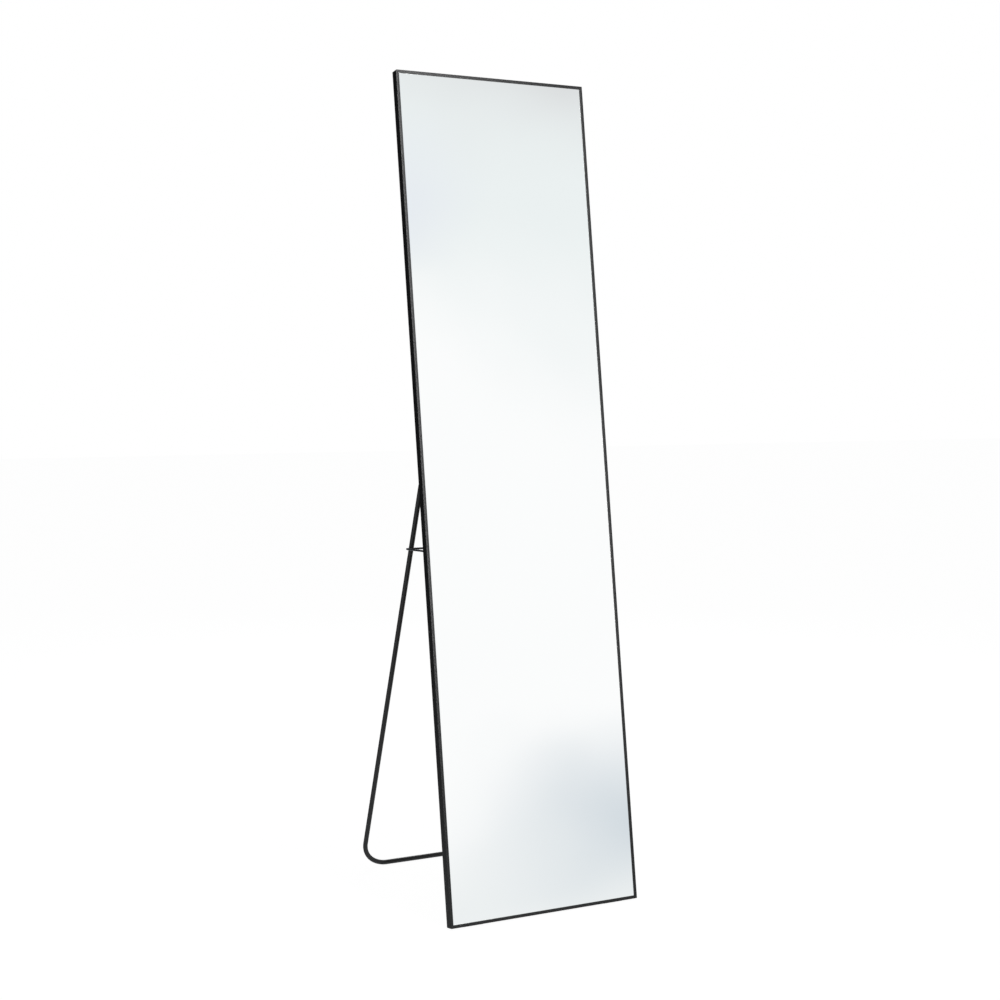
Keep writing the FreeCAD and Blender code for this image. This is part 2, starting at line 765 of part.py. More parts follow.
def flatten_end(body, x):
    """Blend the round rod into a flat strip, and end it in an eye."""
    flat = new_sketch(body, "XY_Plane", "-eye_drop")
    half_thick = "eye_thickness / 2"
    half_wide = "eye_width / 2"
    rectangle(flat, f"{x} - {half_thick}", f"{x} + {half_thick}", f"-{half_wide}", half_wide)
    round_end = new_sketch(body, "XY_Plane", "-blend_drop")
    quartered_circle(round_end, x, "rod_radius")
    loft = body.newObject("PartDesign::AdditiveLoft", "Blend")
    loft.Profile = round_end
    loft.Sections = [flat]
    loft.Ruled = True
    doc.recompute()
    eye = new_sketch(body, "YZ_Plane", f"{x} - {half_thick}")
    tab(eye, ("0", "-eye_drop"), ("0", "0"), half_wide, (0, 1))
    pad(body, eye, "eye_thickness")
    hole = new_sketch(body, "YZ_Plane", f"{x} + {half_thick}")
    circle(hole, "0", "0", "bolt_hole")
    pocket(body, hole, "eye_thickness")


def quartered_circle(sketch, x, radius):
    """A circle in four arcs that face the four sides of the flat strip."""
    step = f"({radius}) * sqrt(0.5)"
    spots = [(f"{x} + {i} * {step}", f"{j} * {step}") for i, j in ((-1, -1), (1, -1), (1, 1), (-1, 1))]
    centre = corner((x, "0"))
    size = value(radius)
    middles = [centre + Vector(i, j, 0) * size for i, j in ((0, -1), (1, 0), (0, 1), (-1, 0))]
    curves = []
    next_spots = spots[1:] + spots[:1]
    for spot, middle, next_spot in zip(spots, middles, next_spots):
        curves.append(sketch.addGeometry(Part.Arc(corner(spot), middle, corner(next_spot))))
    next_curves = curves[1:] + curves[:1]
    for curve, spot, next_curve, next_spot in zip(curves, spots, next_curves, next_spots):
        meeting = corner(next_spot)
        join(sketch, curve, end_at(sketch, curve, meeting), next_curve, end_at(sketch, next_curve, meeting))
        limit(sketch, "Radius", curve, radius)
        pin(sketch, curve, end_at(sketch, curve, corner(spot)), spot[0], spot[1])


# ---- the stay ----


def make_stay():
    """A wire loop round both legs, whose crossbar stops them from opening further.

    Drawn with its pivots' axis along X through the origin and the arms down -Z.
    """
    body = new_body()
    path = new_sketch(body, "XZ_Plane")
    points = [
        ("-wire_end_x", "0"),
        ("-arm_x", "0"),
        ("-arm_x", "-stay_length"),
        ("arm_x", "-stay_length"),
        ("arm_x", "0"),
        ("wire_end_x", "0"),
    ]
    bent_path(path, points, ["pivot_bend", "wire_bend", "wire_bend", "pivot_bend"])
    section = new_sketch(body, "YZ_Plane", "-wire_end_x")
    circle(section, "0", "0", "wire_diameter")
    pipe(body, path, section)
    finish(body, "stay_wire", "stay")


def make_stay_clip(name, side):
    """A saddle clip that holds one end of the wire against the frame's back."""
    near = f"{side} * (half_width - clip_near)"
    far = f"{side} * (half_width - clip_far)"
    base_top = "frame_depth + clip_wall"
    low = "stay_height - clip_half_length"
    high = "stay_height + clip_half_length"
    body, base = plate_body(near, far, low, high, "frame_depth", base_top)
    round_edges(body, base, edges_along(base.Shape, Vector(0, 1, 0)), "plate_round")
    start = near if side == LEFT else far
    root = ("frame_depth", "stay_height")
    pivot = ("stay_depth", "stay_height")
    hump = new_sketch(body, "YZ_Plane", start)
    tab(hump, root, pivot, "clip_hump", (1, 0))
    pad(body, hump, "clip_width")
    folds = [Vector(0, value(base_top), value(f"stay_height + {way} * clip_hump")) for way in (1, -1)]
    soften_folds(body, Vector(1, 0, 0), folds, "clip_bend")
    channel = new_sketch(body, "YZ_Plane", f"{start} + clip_width")
    tab(channel, root, pivot, "clip_bore / 2", (1, 0))
    pocket(body, channel, "clip_width")
    middle = f"{near} - {side} * clip_width / 2"
    places = [(middle, f"stay_height + {way} * clip_screw_reach") for way in (1, -1)]
    drill_back(body, places, "screw_hole", face=base_top)
    finish(body, name, "mirror")
    return [screw(x, u, base_top, "clip_wall + screw_reach") for x, u in places]


def make_stay_clips():
    screws = []
    for name, side in SIDES.items():
        screws += make_stay_clip(f"stay_clip_{name}", side)
    finish(group(screws), "stay_clip_screws", "mirror")


# ---- all of it ----


def check_document():
    """Stop if an object failed or a sub-part has no sound shape."""
    doc.recompute()
    for thing in doc.Objects:
        if "Invalid" in thing.State or "Error" in thing.State:
            raise RuntimeError(f"{thing.Label} failed: {thing.State}")
    for thing in sub_parts:
        if thing.Shape.isNull() or not thing.Shape.isValid() or not thing.Shape.Solids:
            raise RuntimeError(f"{thing.Label} has no sound shape")


def write_parts():
    os.makedirs("parts", exist_ok=True)
    for thing in sub_parts:
        thing.Shape.exportStep(f"parts/{thing.Label}.step")
        print(f"{thing.Label:28} {len(thing.Shape.Solids)} solid(s) {thing.Shape.Volume / 1000:10.3f} cm3")


fill_sheet()
make_frame()
make_glass()
make_tape()
make_board()
for side_name, side_sign in SIDES.items():
    make_floor_pad(f"floor_pad_{side_name}", side_sign)
make_hinges()
make_stay_clips()
make_stand()
make_stay()
check_document()
write_parts()
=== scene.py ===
import json
import math

import bmesh
import bpy
from mathutils import Matrix, Vector


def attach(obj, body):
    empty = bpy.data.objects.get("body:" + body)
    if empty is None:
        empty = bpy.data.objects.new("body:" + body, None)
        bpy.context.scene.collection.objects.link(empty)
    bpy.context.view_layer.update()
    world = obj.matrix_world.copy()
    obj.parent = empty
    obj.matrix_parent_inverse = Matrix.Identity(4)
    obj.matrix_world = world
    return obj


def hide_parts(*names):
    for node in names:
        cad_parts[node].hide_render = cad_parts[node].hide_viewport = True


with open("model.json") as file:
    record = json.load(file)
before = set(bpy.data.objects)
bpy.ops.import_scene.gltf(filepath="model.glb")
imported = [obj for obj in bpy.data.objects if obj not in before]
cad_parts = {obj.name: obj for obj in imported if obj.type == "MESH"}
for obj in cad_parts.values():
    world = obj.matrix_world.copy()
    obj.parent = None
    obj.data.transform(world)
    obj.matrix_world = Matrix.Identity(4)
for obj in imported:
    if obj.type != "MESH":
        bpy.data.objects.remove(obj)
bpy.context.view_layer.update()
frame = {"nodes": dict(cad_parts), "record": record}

# Sizes are in millimetres here. A piece is brought to metres when it is set in place.
METRES = 0.001

LEAN = math.radians(8)
LEG_ANGLE = math.radians(21)
STAY_TILT = math.radians(88)

# The mirror, drawn upright: X across, Y from the frame's front to its back, Z up along the face.
# Its extrusion has a front lip, a thin side wall and a wider hollow rear part behind the board.
HALF_WIDTH = 200
HEIGHT = 1600
FACE_WIDTH = 6
LIP = 1.2
SIDE_WALL = 1.4
BACK_WIDTH = 22
WEB_FRONT = 8.6
FRAME_DEPTH = 17.5
GLASS_INSET = 2
GLASS_REAR = 5.2
BOARD_FRONT = 6.1

# The hinges and the stand, whose legs hang down from the hinge's axis.
HINGE_HEIGHT = 839
PIN_DEPTH = 28
LEG_X = 186
LEG_LENGTH = 883.991
ROD_RADIUS = 4.75
ROD_BEND = 55.5
EYE_HALF_THICK = 2.5
EYE_HALF_WIDE = 6
EYE_DROP = 12
BLEND_LENGTH = 16
BRACKET_WALL = 1.5
EAR_GAP = 6.8
BOLT_HOLE = 5.1

# The stay, whose arms hang down from its pivots' axis, and its clips.
STAY_HEIGHT = 696
STAY_DEPTH = 19.7
STAY_LENGTH = 90.860
WIRE_RADIUS = 2
WIRE_END_X = 179.45
ARM_X = 193.25
CLIP_NEAR = 188.95
CLIP_FAR = 180.95

# Left and right, as signs of X.
SIDES = (-1, 1)
ACROSS = Vector((1, 0, 0))
BACK = Vector((0, 1, 0))
UP = Vector((0, 0, 1))


# ---- where each body's pieces are drawn, and where they go ----


def placed(x, y, z, turn):
    """From millimetres in a body's own upright frame to metres in the row frame."""
    return Matrix.Translation((x, y, z)) @ Matrix.Rotation(turn, 4, "X") @ Matrix.Scale(METRES, 4)


ON_MIRROR = placed(0, -0.233019, 0.003089, -LEAN)
ON_STAND = placed(0, -0.088525, 0.830027, LEG_ANGLE)
ON_STAY = placed(0, -0.116646, 0.689573, STAY_TILT)


def camera_for_the_photo():
    """The photograph's viewpoint, with its slight shift."""
    lens = bpy.data.cameras.new("camera")
    lens.sensor_width = 36
    lens.lens = 61.81
    lens.shift_x = -0.0542
    lens.shift_y = 0.026
    lens.clip_end = 60
    camera = bpy.data.objects.new("camera", lens)
    camera.location = (-1.5077, -3.0263, 1.0054)
    camera.rotation_euler = (math.radians(90 - 4.816), 0, math.radians(-28.614))
    bpy.context.scene.collection.objects.link(camera)
    bpy.context.scene.camera = camera


camera_for_the_photo()
bpy.context.scene.view_settings.view_transform = "Standard"


# ---- shader nodes ----


def node(tree, kind, inputs=None, **settings):
    """Add a node, set its choices and fill its sockets with numbers or with other sockets."""
    made = tree.nodes.new(kind)
    for name, choice in settings.items():
        setattr(made, name, choice)
    for socket, source in (inputs or {}).items():
        if isinstance(source, bpy.types.NodeSocket):
            tree.links.new(source, made.inputs[socket])
        else:
            made.inputs[socket].default_value = source
    return made


def maths(tree, operation, first, second=0.0, clamp=False):
    return node(tree, "ShaderNodeMath", {0: first, 1: second}, operation=operation, use_clamp=clamp).outputs[0]


def remapped(tree, source, low, high, to_low, to_high):
    sockets = {"Value": source, "From Min": low, "From Max": high, "To Min": to_low, "To Max": to_high}
    return node(tree, "ShaderNodeMapRange", sockets, interpolation_type="SMOOTHSTEP").outputs["Result"]


def mixed(tree, share, first, second):
    sockets = {"Factor": share, "A": first, "B": second}
    blend = node(tree, "ShaderNodeMix", data_type="RGBA")
    for socket, source in sockets.items():
        slot = next(s for s in blend.inputs if s.name == socket and s.enabled)
        if isinstance(source, bpy.types.NodeSocket):
            tree.links.new(source, slot)
        else:
            slot.default_value = source
    return next(s for s in blend.outputs if s.enabled)


def new_effect(name, inputs, outputs):
    """An empty node group with named sockets, and its two end nodes."""
    group = bpy.data.node_groups.new(name, "ShaderNodeTree")
    for socket_name, kind, value in inputs:
        socket = group.interface.new_socket(name=socket_name, in_out="INPUT", socket_type=f"NodeSocket{kind}")
        socket.default_value = value
    for socket_name, kind in outputs:
        group.interface.new_socket(name=socket_name, in_out="OUTPUT", socket_type=f"NodeSocket{kind}")
    return group, group.nodes.new("NodeGroupInput").outputs, group.nodes.new("NodeGroupOutput").inputs


def object_spot(tree):
    return node(tree, "ShaderNodeTexCoord").outputs["Object"]


def noise(tree, spot, scale, detail=2.0, roughness=0.5):
    sockets = {"Vector": spot, "Scale": scale, "Detail": detail, "Roughness": roughness}
    return node(tree, "ShaderNodeTexNoise", sockets).outputs["Fac"]


def swing(tree, source, amount):
    """A noise's distance from its middle, scaled so that it reaches about the amount."""
    centred = maths(tree, "SUBTRACT", source, 0.5)
    return maths(tree, "MULTIPLY", centred, maths(tree, "MULTIPLY", amount, 4.0))


def coat_effect():
    """The fine grain and faint cloudiness of a coated or moulded surface."""
    inputs = [
        ("Color", "Color", (0.5, 0.5, 0.5, 1)),
        ("Grain", "Float", 0.0005),
        ("Mottle", "Float", 0.1),
        ("Roughness", "Float", 0.5),
        ("Spread", "Float", 0.05),
    ]
    outputs = [("Color", "Color"), ("Roughness", "Float"), ("Height", "Float")]
    group, given, result = new_effect("coat_grain", inputs, outputs)
    spot = object_spot(group)
    fine = noise(group, spot, maths(group, "DIVIDE", 1.0, given["Grain"]), 3.0)
    broad = noise(group, spot, 14.0, 4.0, 0.6)
    level = maths(group, "ADD", 1.0, swing(group, broad, given["Mottle"]))
    tinted = node(group, "ShaderNodeVectorMath", {0: given["Color"], "Scale": level}, operation="SCALE")
    group.links.new(tinted.outputs[0], result["Color"])
    patches = noise(group, spot, 45.0, 3.0)
    level = maths(group, "ADD", given["Roughness"], swing(group, patches, given["Spread"]), clamp=True)
    group.links.new(level, result["Roughness"])
    group.links.new(fine, result["Height"])
    return group


def wear_effect():
    """A colour that shows through along edges, broken up by small chips."""
    inputs = [
        ("Color", "Color", (0.5, 0.5, 0.5, 1)),
        ("Bare", "Color", (0.5, 0.5, 0.5, 1)),
        ("Width", "Float", 0.0005),
        ("Amount", "Float", 0.5),
    ]
    group, given, result = new_effect("edge_wear", inputs, [("Color", "Color"), ("Mask", "Float")])
    rounded = node(group, "ShaderNodeBevel", {"Radius": given["Width"]}, samples=4).outputs[0]
    flat = node(group, "ShaderNodeNewGeometry").outputs["Normal"]
    facing = node(group, "ShaderNodeVectorMath", {0: rounded, 1: flat}, operation="DOT_PRODUCT").outputs["Value"]
    edge = remapped(group, facing, 0.99, 0.80, 0.0, 1.0)
    chips = remapped(group, noise(group, object_spot(group), 260.0, 4.0, 0.7), 0.35, 0.62, 0.25, 1.0)
    mask = maths(group, "MULTIPLY", maths(group, "MULTIPLY", edge, chips), given["Amount"], clamp=True)
    group.links.new(mixed(group, mask, given["Color"], given["Bare"]), result["Color"])
    group.links.new(mask, result["Mask"])
    return group


def marks_effect():
    """Roughness that rises in faint wiped streaks and specks of dust."""
    inputs = [("Roughness", "Float", 0.01), ("Marks", "Float", 0.02)]
    group, given, result = new_effect("handling_marks", inputs, [("Roughness", "Float"), ("Height", "Float")])
    spot = object_spot(group)
    stretched = node(group, "ShaderNodeMapping", {"Vector": spot, "Rotation": (0.3, 0.9, 0), "Scale": (1, 1, 0.12)})
    streaks = remapped(group, noise(group, stretched.outputs[0], 22.0, 5.0, 0.65), 0.48, 0.78, 0.0, 1.0)
    clouds = remapped(group, noise(group, spot, 5.0, 3.0), 0.4, 0.7, 0.1, 1.0)
    shown = maths(group, "MULTIPLY", streaks, clouds)
    rise = maths(group, "MULTIPLY", shown, given["Marks"])
    group.links.new(maths(group, "ADD", given["Roughness"], rise), result["Roughness"])
    group.links.new(noise(group, spot, 7.0, 1.0), result["Height"])
    return group


COAT = coat_effect()
WEAR = wear_effect()
MARKS = marks_effect()


def new_material(name, metallic=0.0, specular=0.5):
    made = bpy.data.materials.new(name)
    made.use_nodes = True
    shader = made.node_tree.nodes["Principled BSDF"]
    shader.inputs["Metallic"].default_value = metallic
    shader.inputs["Specular IOR Level"].default_value = specular
    return made, made.node_tree, shader


def use(tree, effect, inputs):
    return node(tree, "ShaderNodeGroup", inputs, node_tree=effect).outputs


def bumped(tree, shader, height, distance, strength=1.0):
    bump = node(tree, "ShaderNodeBump", {"Height": height, "Distance": distance, "Strength": strength})
    tree.links.new(bump.outputs[0], shader.inputs["Normal"])


def coated(name, colour, grain, roughness, bare=None, wear=0.0, mottle=0.1, spread=0.05, relief=0.00004, **look):
    """A painted, plated or moulded finish, with bare edges where it wears."""
    made, tree, shader = new_material(name, **look)
    coat = use(tree, COAT, {
        "Color": (*colour, 1), "Grain": grain, "Mottle": mottle, "Roughness": roughness, "Spread": spread,
    })
    surface = coat["Color"]
    if bare:
        surface = use(tree, WEAR, {"Color": surface, "Bare": (*bare, 1), "Width": 0.0004, "Amount": wear})["Color"]
    tree.links.new(surface, shader.inputs["Base Color"])
    tree.links.new(coat["Roughness"], shader.inputs["Roughness"])
    bumped(tree, shader, coat["Height"], relief)
    return made


def silvered_glass():
    """Bright silver behind clean float glass, greenish at its ground edge."""
    made, tree, shader = new_material("silvered_glass", metallic=1.0)
    marks = use(tree, MARKS, {"Roughness": 0.006, "Marks": 0.03})
    facing = node(tree, "ShaderNodeNewGeometry").outputs["Normal"]
    face_way = (0, -math.cos(LEAN), math.sin(LEAN))
    forward = node(tree, "ShaderNodeVectorMath", {0: facing, 1: face_way}, operation="DOT_PRODUCT")
    edge = remapped(tree, forward.outputs["Value"], 0.98, 0.80, 0.0, 1.0)
    silver = (0.965, 0.975, 0.975, 1)
    green = (0.30, 0.48, 0.42, 1)
    colour = mixed(tree, edge, silver, green)
    tree.links.new(colour, shader.inputs["Base Color"])
    tree.links.new(marks["Roughness"], shader.inputs["Roughness"])
    bumped(tree, shader, marks["Height"], 0.00002)
    return made


def hardboard():
    """Pressed brown fibre with the print of the screen it was pressed on."""
    dark_brown = (0.134, 0.087, 0.053, 1)
    light_brown = (0.160, 0.105, 0.065, 1)
    fleck = (0.26, 0.185, 0.12, 1)
    made, tree, shader = new_material("hardboard", specular=0.25)
    spot = node(tree, "ShaderNodeMapping", {"Vector": object_spot(tree), "Rotation": (LEAN, 0, 0)}).outputs[0]
    fibres = noise(tree, spot, 700.0, 5.0, 0.7)
    patches = noise(tree, spot, 6.0, 4.0, 0.6)
    brown = mixed(tree, remapped(tree, patches, 0.35, 0.65, 0.0, 1.0), dark_brown, light_brown)
    flecked = mixed(tree, remapped(tree, fibres, 0.35, 0.75, 0.0, 0.75), brown, fleck)
    tree.links.new(flecked, shader.inputs["Base Color"])
    tree.links.new(remapped(tree, fibres, 0.3, 0.7, 0.62, 0.86), shader.inputs["Roughness"])
    threads = []
    for axis in ("X", "Z"):
        screen = {"Vector": spot, "Scale": 210.0, "Distortion": 0.4}
        wave = node(tree, "ShaderNodeTexWave", screen, bands_direction=axis)
        threads.append(wave.outputs["Fac"])
    print_depth = maths(tree, "MULTIPLY", *threads)
    height = maths(tree, "ADD", print_depth, maths(tree, "MULTIPLY", fibres, 0.5))
    bumped(tree, shader, height, 0.00012)
    return made


def foam():
    """White foam with fine closed cells, and painted shade that darkens each cell's hollow."""
    made, tree, shader = new_material("white_foam", specular=0.2)
    cells = node(tree, "ShaderNodeTexVoronoi", {"Vector": object_spot(tree), "Scale": 2400.0}).outputs["Distance"]
    # Painted shade: the colour is darker where the cells' bump is lowest, in each cell's hollow.
    colour = mixed(tree, remapped(tree, cells, 0.0, 0.7, 0.0, 1.0), (0.70, 0.70, 0.68, 1), (0.86, 0.86, 0.84, 1))
    tree.links.new(colour, shader.inputs["Base Color"])
    tree.links.new(remapped(tree, cells, 0.0, 0.7, 0.95, 0.8), shader.inputs["Roughness"])
    bumped(tree, shader, cells, 0.0002)
    return made


def ribbed_rubber():
    """Matt rubber with fine ribs across the pad."""
    made, tree, shader = new_material("pad_rubber", specular=0.3)
    coat = use(tree, COAT, {
        "Color": (0.026, 0.026, 0.027, 1), "Grain": 0.0006, "Mottle": 0.2, "Roughness": 0.82, "Spread": 0.06,
    })
    ribs = node(tree, "ShaderNodeTexWave", {"Vector": object_spot(tree), "Scale": 160.0}, bands_direction="X")
    tree.links.new(coat["Color"], shader.inputs["Base Color"])
    tree.links.new(coat["Roughness"], shader.inputs["Roughness"])
    height = maths(tree, "ADD", ribs.outputs["Fac"], maths(tree, "MULTIPLY", coat["Height"], 0.3))
    bumped(tree, shader, height, 0.0002)
    return made


FINISH = {
    "frame_black": coated(
        "satin_black_frame", (0.0085, 0.0086, 0.0092), grain=0.0004, roughness=0.32,
        bare=(0.05, 0.05, 0.055), wear=0.35, mottle=0.12, specular=0.25),
    "mirror_face": silvered_glass(),
    "board": hardboard(),
    "foam": foam(),
    "rod_black": coated(
        "charcoal_rod", (0.012, 0.012, 0.013), grain=0.0005, roughness=0.38,
        bare=(0.04, 0.04, 0.042), wear=0.3, mottle=0.15, relief=0.00006, specular=0.3),
    "wire_steel": coated(
        "dark_plated_wire", (0.115, 0.120, 0.140), grain=0.0006, roughness=0.36,
        mottle=0.2, spread=0.08, relief=0.00002, metallic=0.9),
    "bracket_steel": coated(
        "black_sheet_steel", (0.018, 0.018, 0.019), grain=0.0004, roughness=0.42,
        bare=(0.20, 0.20, 0.20), wear=0.45, mottle=0.15, relief=0.00005),
    "fastener_steel": coated(
        "zinc_fasteners", (0.52, 0.53, 0.56), grain=0.0003, roughness=0.30,
        bare=(0.7, 0.7, 0.7), wear=0.3, spread=0.08, relief=0.00001, metallic=1.0),
    "key_steel": coated(
        "zinc_keys", (0.50, 0.50, 0.52), grain=0.0004, roughness=0.36,
        mottle=0.12, spread=0.08, relief=0.00002, metallic=1.0),
    "nylon": coated(
        "natural_nylon", (0.74, 0.74, 0.70), grain=0.0005, roughness=0.42, mottle=0.04, relief=0.00002),
    "pad_rubber": ribbed_rubber(),
}


# ---- modelling, in millimetres ----


def alone(piece):
    bpy.ops.object.select_all(action="DESELECT")
    piece.select_set(True)
    bpy.context.view_layer.objects.active = piece


def fresh(add, **settings):
    """Add a primitive by itself, fix its place and size in its mesh, and open it for editing."""
    bpy.ops.object.select_all(action="DESELECT")
    add(**settings)
    bpy.ops.object.transform_apply(location=True, rotation=True, scale=True)
    bpy.ops.object.mode_set(mode="EDIT")
    return bpy.context.object


def block(low, high):
    """A box between two corners."""
    middle = (Vector(low) + Vector(high)) / 2
    return fresh(bpy.ops.mesh.primitive_cube_add, size=1, location=middle, scale=Vector(high) - Vector(low))


def round_bar(start, way, radius, length, sides=48):
    """A cylinder that runs from a point."""
    middle = Vector(start) + way * length / 2
    turn = way.to_track_quat("Z", "Y").to_euler()
    add = bpy.ops.mesh.primitive_cylinder_add
    return fresh(add, vertices=sides, radius=radius, depth=length, location=middle, rotation=turn)


def open_ring(centre, way, radius, sides=40):
    """The outline of a rod's section, to be drawn out to a tube."""
    turn = way.to_track_quat("Z", "Y").to_euler()
    return fresh(bpy.ops.mesh.primitive_circle_add, vertices=sides, radius=radius, location=centre, rotation=turn)


def middle_of(item):
    points = [item.co] if isinstance(item, bmesh.types.BMVert) else [point.co for point in item.verts]
    return sum(points, Vector()) / len(points)


def runs_along(edge, way):
    run = (edge.verts[1].co - edge.verts[0].co).normalized()
    return abs(run.dot(way)) > 0.999


def pick(piece, kind, test):
    """Select only the faces, edges or points that pass a test."""
    bpy.ops.mesh.select_mode(type=kind)
    bpy.ops.mesh.select_all(action="DESELECT")
    mesh = bmesh.from_edit_mesh(piece.data)
    for item in {"FACE": mesh.faces, "EDGE": mesh.edges, "VERT": mesh.verts}[kind]:
        if test(item):
            item.select_set(True)
    bmesh.update_edit_mesh(piece.data)


def pick_end(piece, way):
    """Select the flat face that looks along a direction."""
    pick(piece, "FACE", lambda face: face.normal.dot(way) > 0.999)


def draw_out(x, y, z):
    """Extrude what is selected by a step."""
    bpy.ops.mesh.extrude_region_move(TRANSFORM_OT_translate={"value": (x, y, z)})


def sliced(spot, normal, trim=False):
    """Cut along a plane; trim takes away what its normal points at and closes the cut."""
    bpy.ops.mesh.select_all(action="SELECT")
    bpy.ops.mesh.bisect(plane_co=spot, plane_no=normal, use_fill=trim, clear_outer=trim)


def rounded(piece, test, width, segments):
    """Round the edges that pass a test."""
    pick(piece, "EDGE", test)
    bpy.ops.mesh.bevel(offset=width, segments=segments, affect="EDGES")


def finished(piece):
    """Join loose seams, turn all faces outwards and leave edit mode."""
    bpy.ops.mesh.select_mode(type="VERT")
    bpy.ops.mesh.select_all(action="SELECT")
    bpy.ops.mesh.remove_doubles(threshold=0.001)
    bpy.ops.mesh.normals_make_consistent(inside=False)
    bpy.ops.object.mode_set(mode="OBJECT")
    return piece


def applied(piece, kind, **settings):
    """Put a modifier on the piece and apply it."""
    alone(piece)
    change = piece.modifiers.new(kind.lower(), kind)
    for name, choice in settings.items():
        setattr(change, name, choice)
    bpy.ops.object.modifier_apply(modifier=change.name)
    return piece


def carved(piece, cutter, operation="DIFFERENCE"):
    """Take a cutter's shape out of the piece, or keep only what both share, and join the cut's points."""
    finished(cutter)
    applied(piece, "BOOLEAN", operation=operation, solver="EXACT", object=cutter)
    bpy.data.objects.remove(cutter, do_unlink=True)
    bpy.ops.object.mode_set(mode="EDIT")
    return finished(piece)


def eased(piece, width, segments=2, angle=35):
    """A small round along every sharp edge."""
    return applied(
        piece, "BEVEL", width=width, segments=segments, limit_method="ANGLE", angle_limit=math.radians(angle),
        use_clamp_overlap=True, miter_outer="MITER_ARC",
    )


def copied(piece, move):
    """A copy with its own mesh, carried or mirrored by a matrix."""
    alone(piece)
    bpy.ops.object.duplicate(linked=False)
    copy = bpy.context.object
    copy.matrix_world = move
    bpy.ops.object.transform_apply(location=True, rotation=True, scale=True)
    bpy.ops.object.mode_set(mode="EDIT")
    return finished(copy)


MIRRORED = Matrix.Scale(-1, 4, ACROSS)


def settle(piece, name, body, place, slot, *nodes):
    """Name a piece, put it in its place, and finish it for the nodes that it stands for."""
    alone(piece)
    piece.name = name
    piece.data.name = name
    piece.matrix_world = place
    bpy.ops.object.transform_apply(location=True, rotation=True, scale=True)
    bpy.ops.object.shade_smooth_by_angle(angle=math.radians(32))
    piece.data.materials.clear()
    piece.data.materials.append(FINISH[slot])
    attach(piece, body)
    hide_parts(*nodes)


# ---- the frame ----

# The frame's corners are rounded by this much in the front view, by cuts at these angles.
CORNER_ROUND = 1.8
CORNER_CUTS = (9, 18, 27, 36, 45)

# Each bar stops short of its mitre by this much, so that the joint shows as a line.
MITRE_GAP = 0.03

# The screws of the corner keys: how far they are from a corner, and their own sizes.
KEY_SCREW_REACH = 42
KEY_SCREW_RADIUS = 2
KEY_SCREW_LENGTH = 7.3
KEY_SCREW_SUNK = 0.2
KEY_SCREW_HOLE = 2.05
KEY_SOCKET_RADIUS = 1.15
KEY_SOCKET_DEPTH = 1.8


def mitred_bar(length, key_screw_reach):
    """One length of the frame's extrusion, upright at the mirror's left edge, mitred at both ends."""
    outer = -HALF_WIDTH
    wall = outer + SIDE_WALL
    bar = block((outer, WEB_FRONT, 0), (outer + BACK_WIDTH, FRAME_DEPTH, length))
    sliced((wall, 0, 0), ACROSS)
    pick(bar, "FACE", lambda face: face.normal.y < -0.9 and middle_of(face).x < wall)
    draw_out(0, -WEB_FRONT, 0)
    sliced((0, LIP, 0), BACK)
    pick(bar, "FACE", lambda face: face.normal.x > 0.9 and middle_of(face).y < LIP)
    draw_out(FACE_WIDTH - SIDE_WALL, 0, 0)
    # The long edges by place, with the width and the steps of their rounds.
    long_edges = (
        (outer, FRAME_DEPTH, 1.0, 4),
        (outer, 0, 0.45, 4),
        (outer + FACE_WIDTH, 0, 0.3, 3),
        (outer + FACE_WIDTH, LIP, 0.25, 2),
        (outer + BACK_WIDTH, FRAME_DEPTH, 0.4, 3),
    )
    for x, y, width, segments in long_edges:
        spot = Vector((x, y))
        rounded(bar, lambda edge: runs_along(edge, UP) and (middle_of(edge).xy - spot).length < 0.01,
                width, segments)
    for end, rise in ((0, 1), (length, -1)):
        corner = Vector((outer, 0, end))
        sliced(corner + Vector((0, 0, rise * MITRE_GAP)), (1, 0, -rise), trim=True)
        centre = corner + Vector((CORNER_ROUND, 0, rise * CORNER_ROUND))
        for degrees in CORNER_CUTS:
            turn = math.radians(degrees)
            way = Vector((-math.cos(turn), 0, -rise * math.sin(turn)))
            sliced(centre + way * CORNER_ROUND, way, trim=True)
    finished(bar)
    for height in (key_screw_reach, length - key_screw_reach):
        start = (outer + BACK_WIDTH / 2, FRAME_DEPTH - 2, height)
        carved(bar, round_bar(start, BACK, KEY_SCREW_HOLE, 4, 32))
    return bar


def make_frame():
    half_turn = Matrix.Translation((0, 0, HEIGHT)) @ Matrix.Rotation(math.pi, 4, "Y")
    stile = mitred_bar(HEIGHT, KEY_SCREW_REACH)
    settle(copied(stile, half_turn), "stile_right", "mirror", ON_MIRROR, "frame_black", "right_stile")
    settle(stile, "stile_left", "mirror", ON_MIRROR, "frame_black", "left_stile")
    # A bar for the left edge, turned a quarter about Y, lies along the bottom edge.
    quarter_turn = Matrix.Translation((HALF_WIDTH, 0, HALF_WIDTH)) @ Matrix.Rotation(-math.pi / 2, 4, "Y")
    short_bar = mitred_bar(2 * HALF_WIDTH, KEY_SCREW_REACH)
    rail = copied(short_bar, quarter_turn)
    bpy.data.objects.remove(short_bar, do_unlink=True)
    settle(copied(rail, half_turn), "rail_top", "mirror", ON_MIRROR, "frame_black", "top_rail")
    settle(rail, "rail_bottom", "mirror", ON_MIRROR, "frame_black", "bottom_rail")


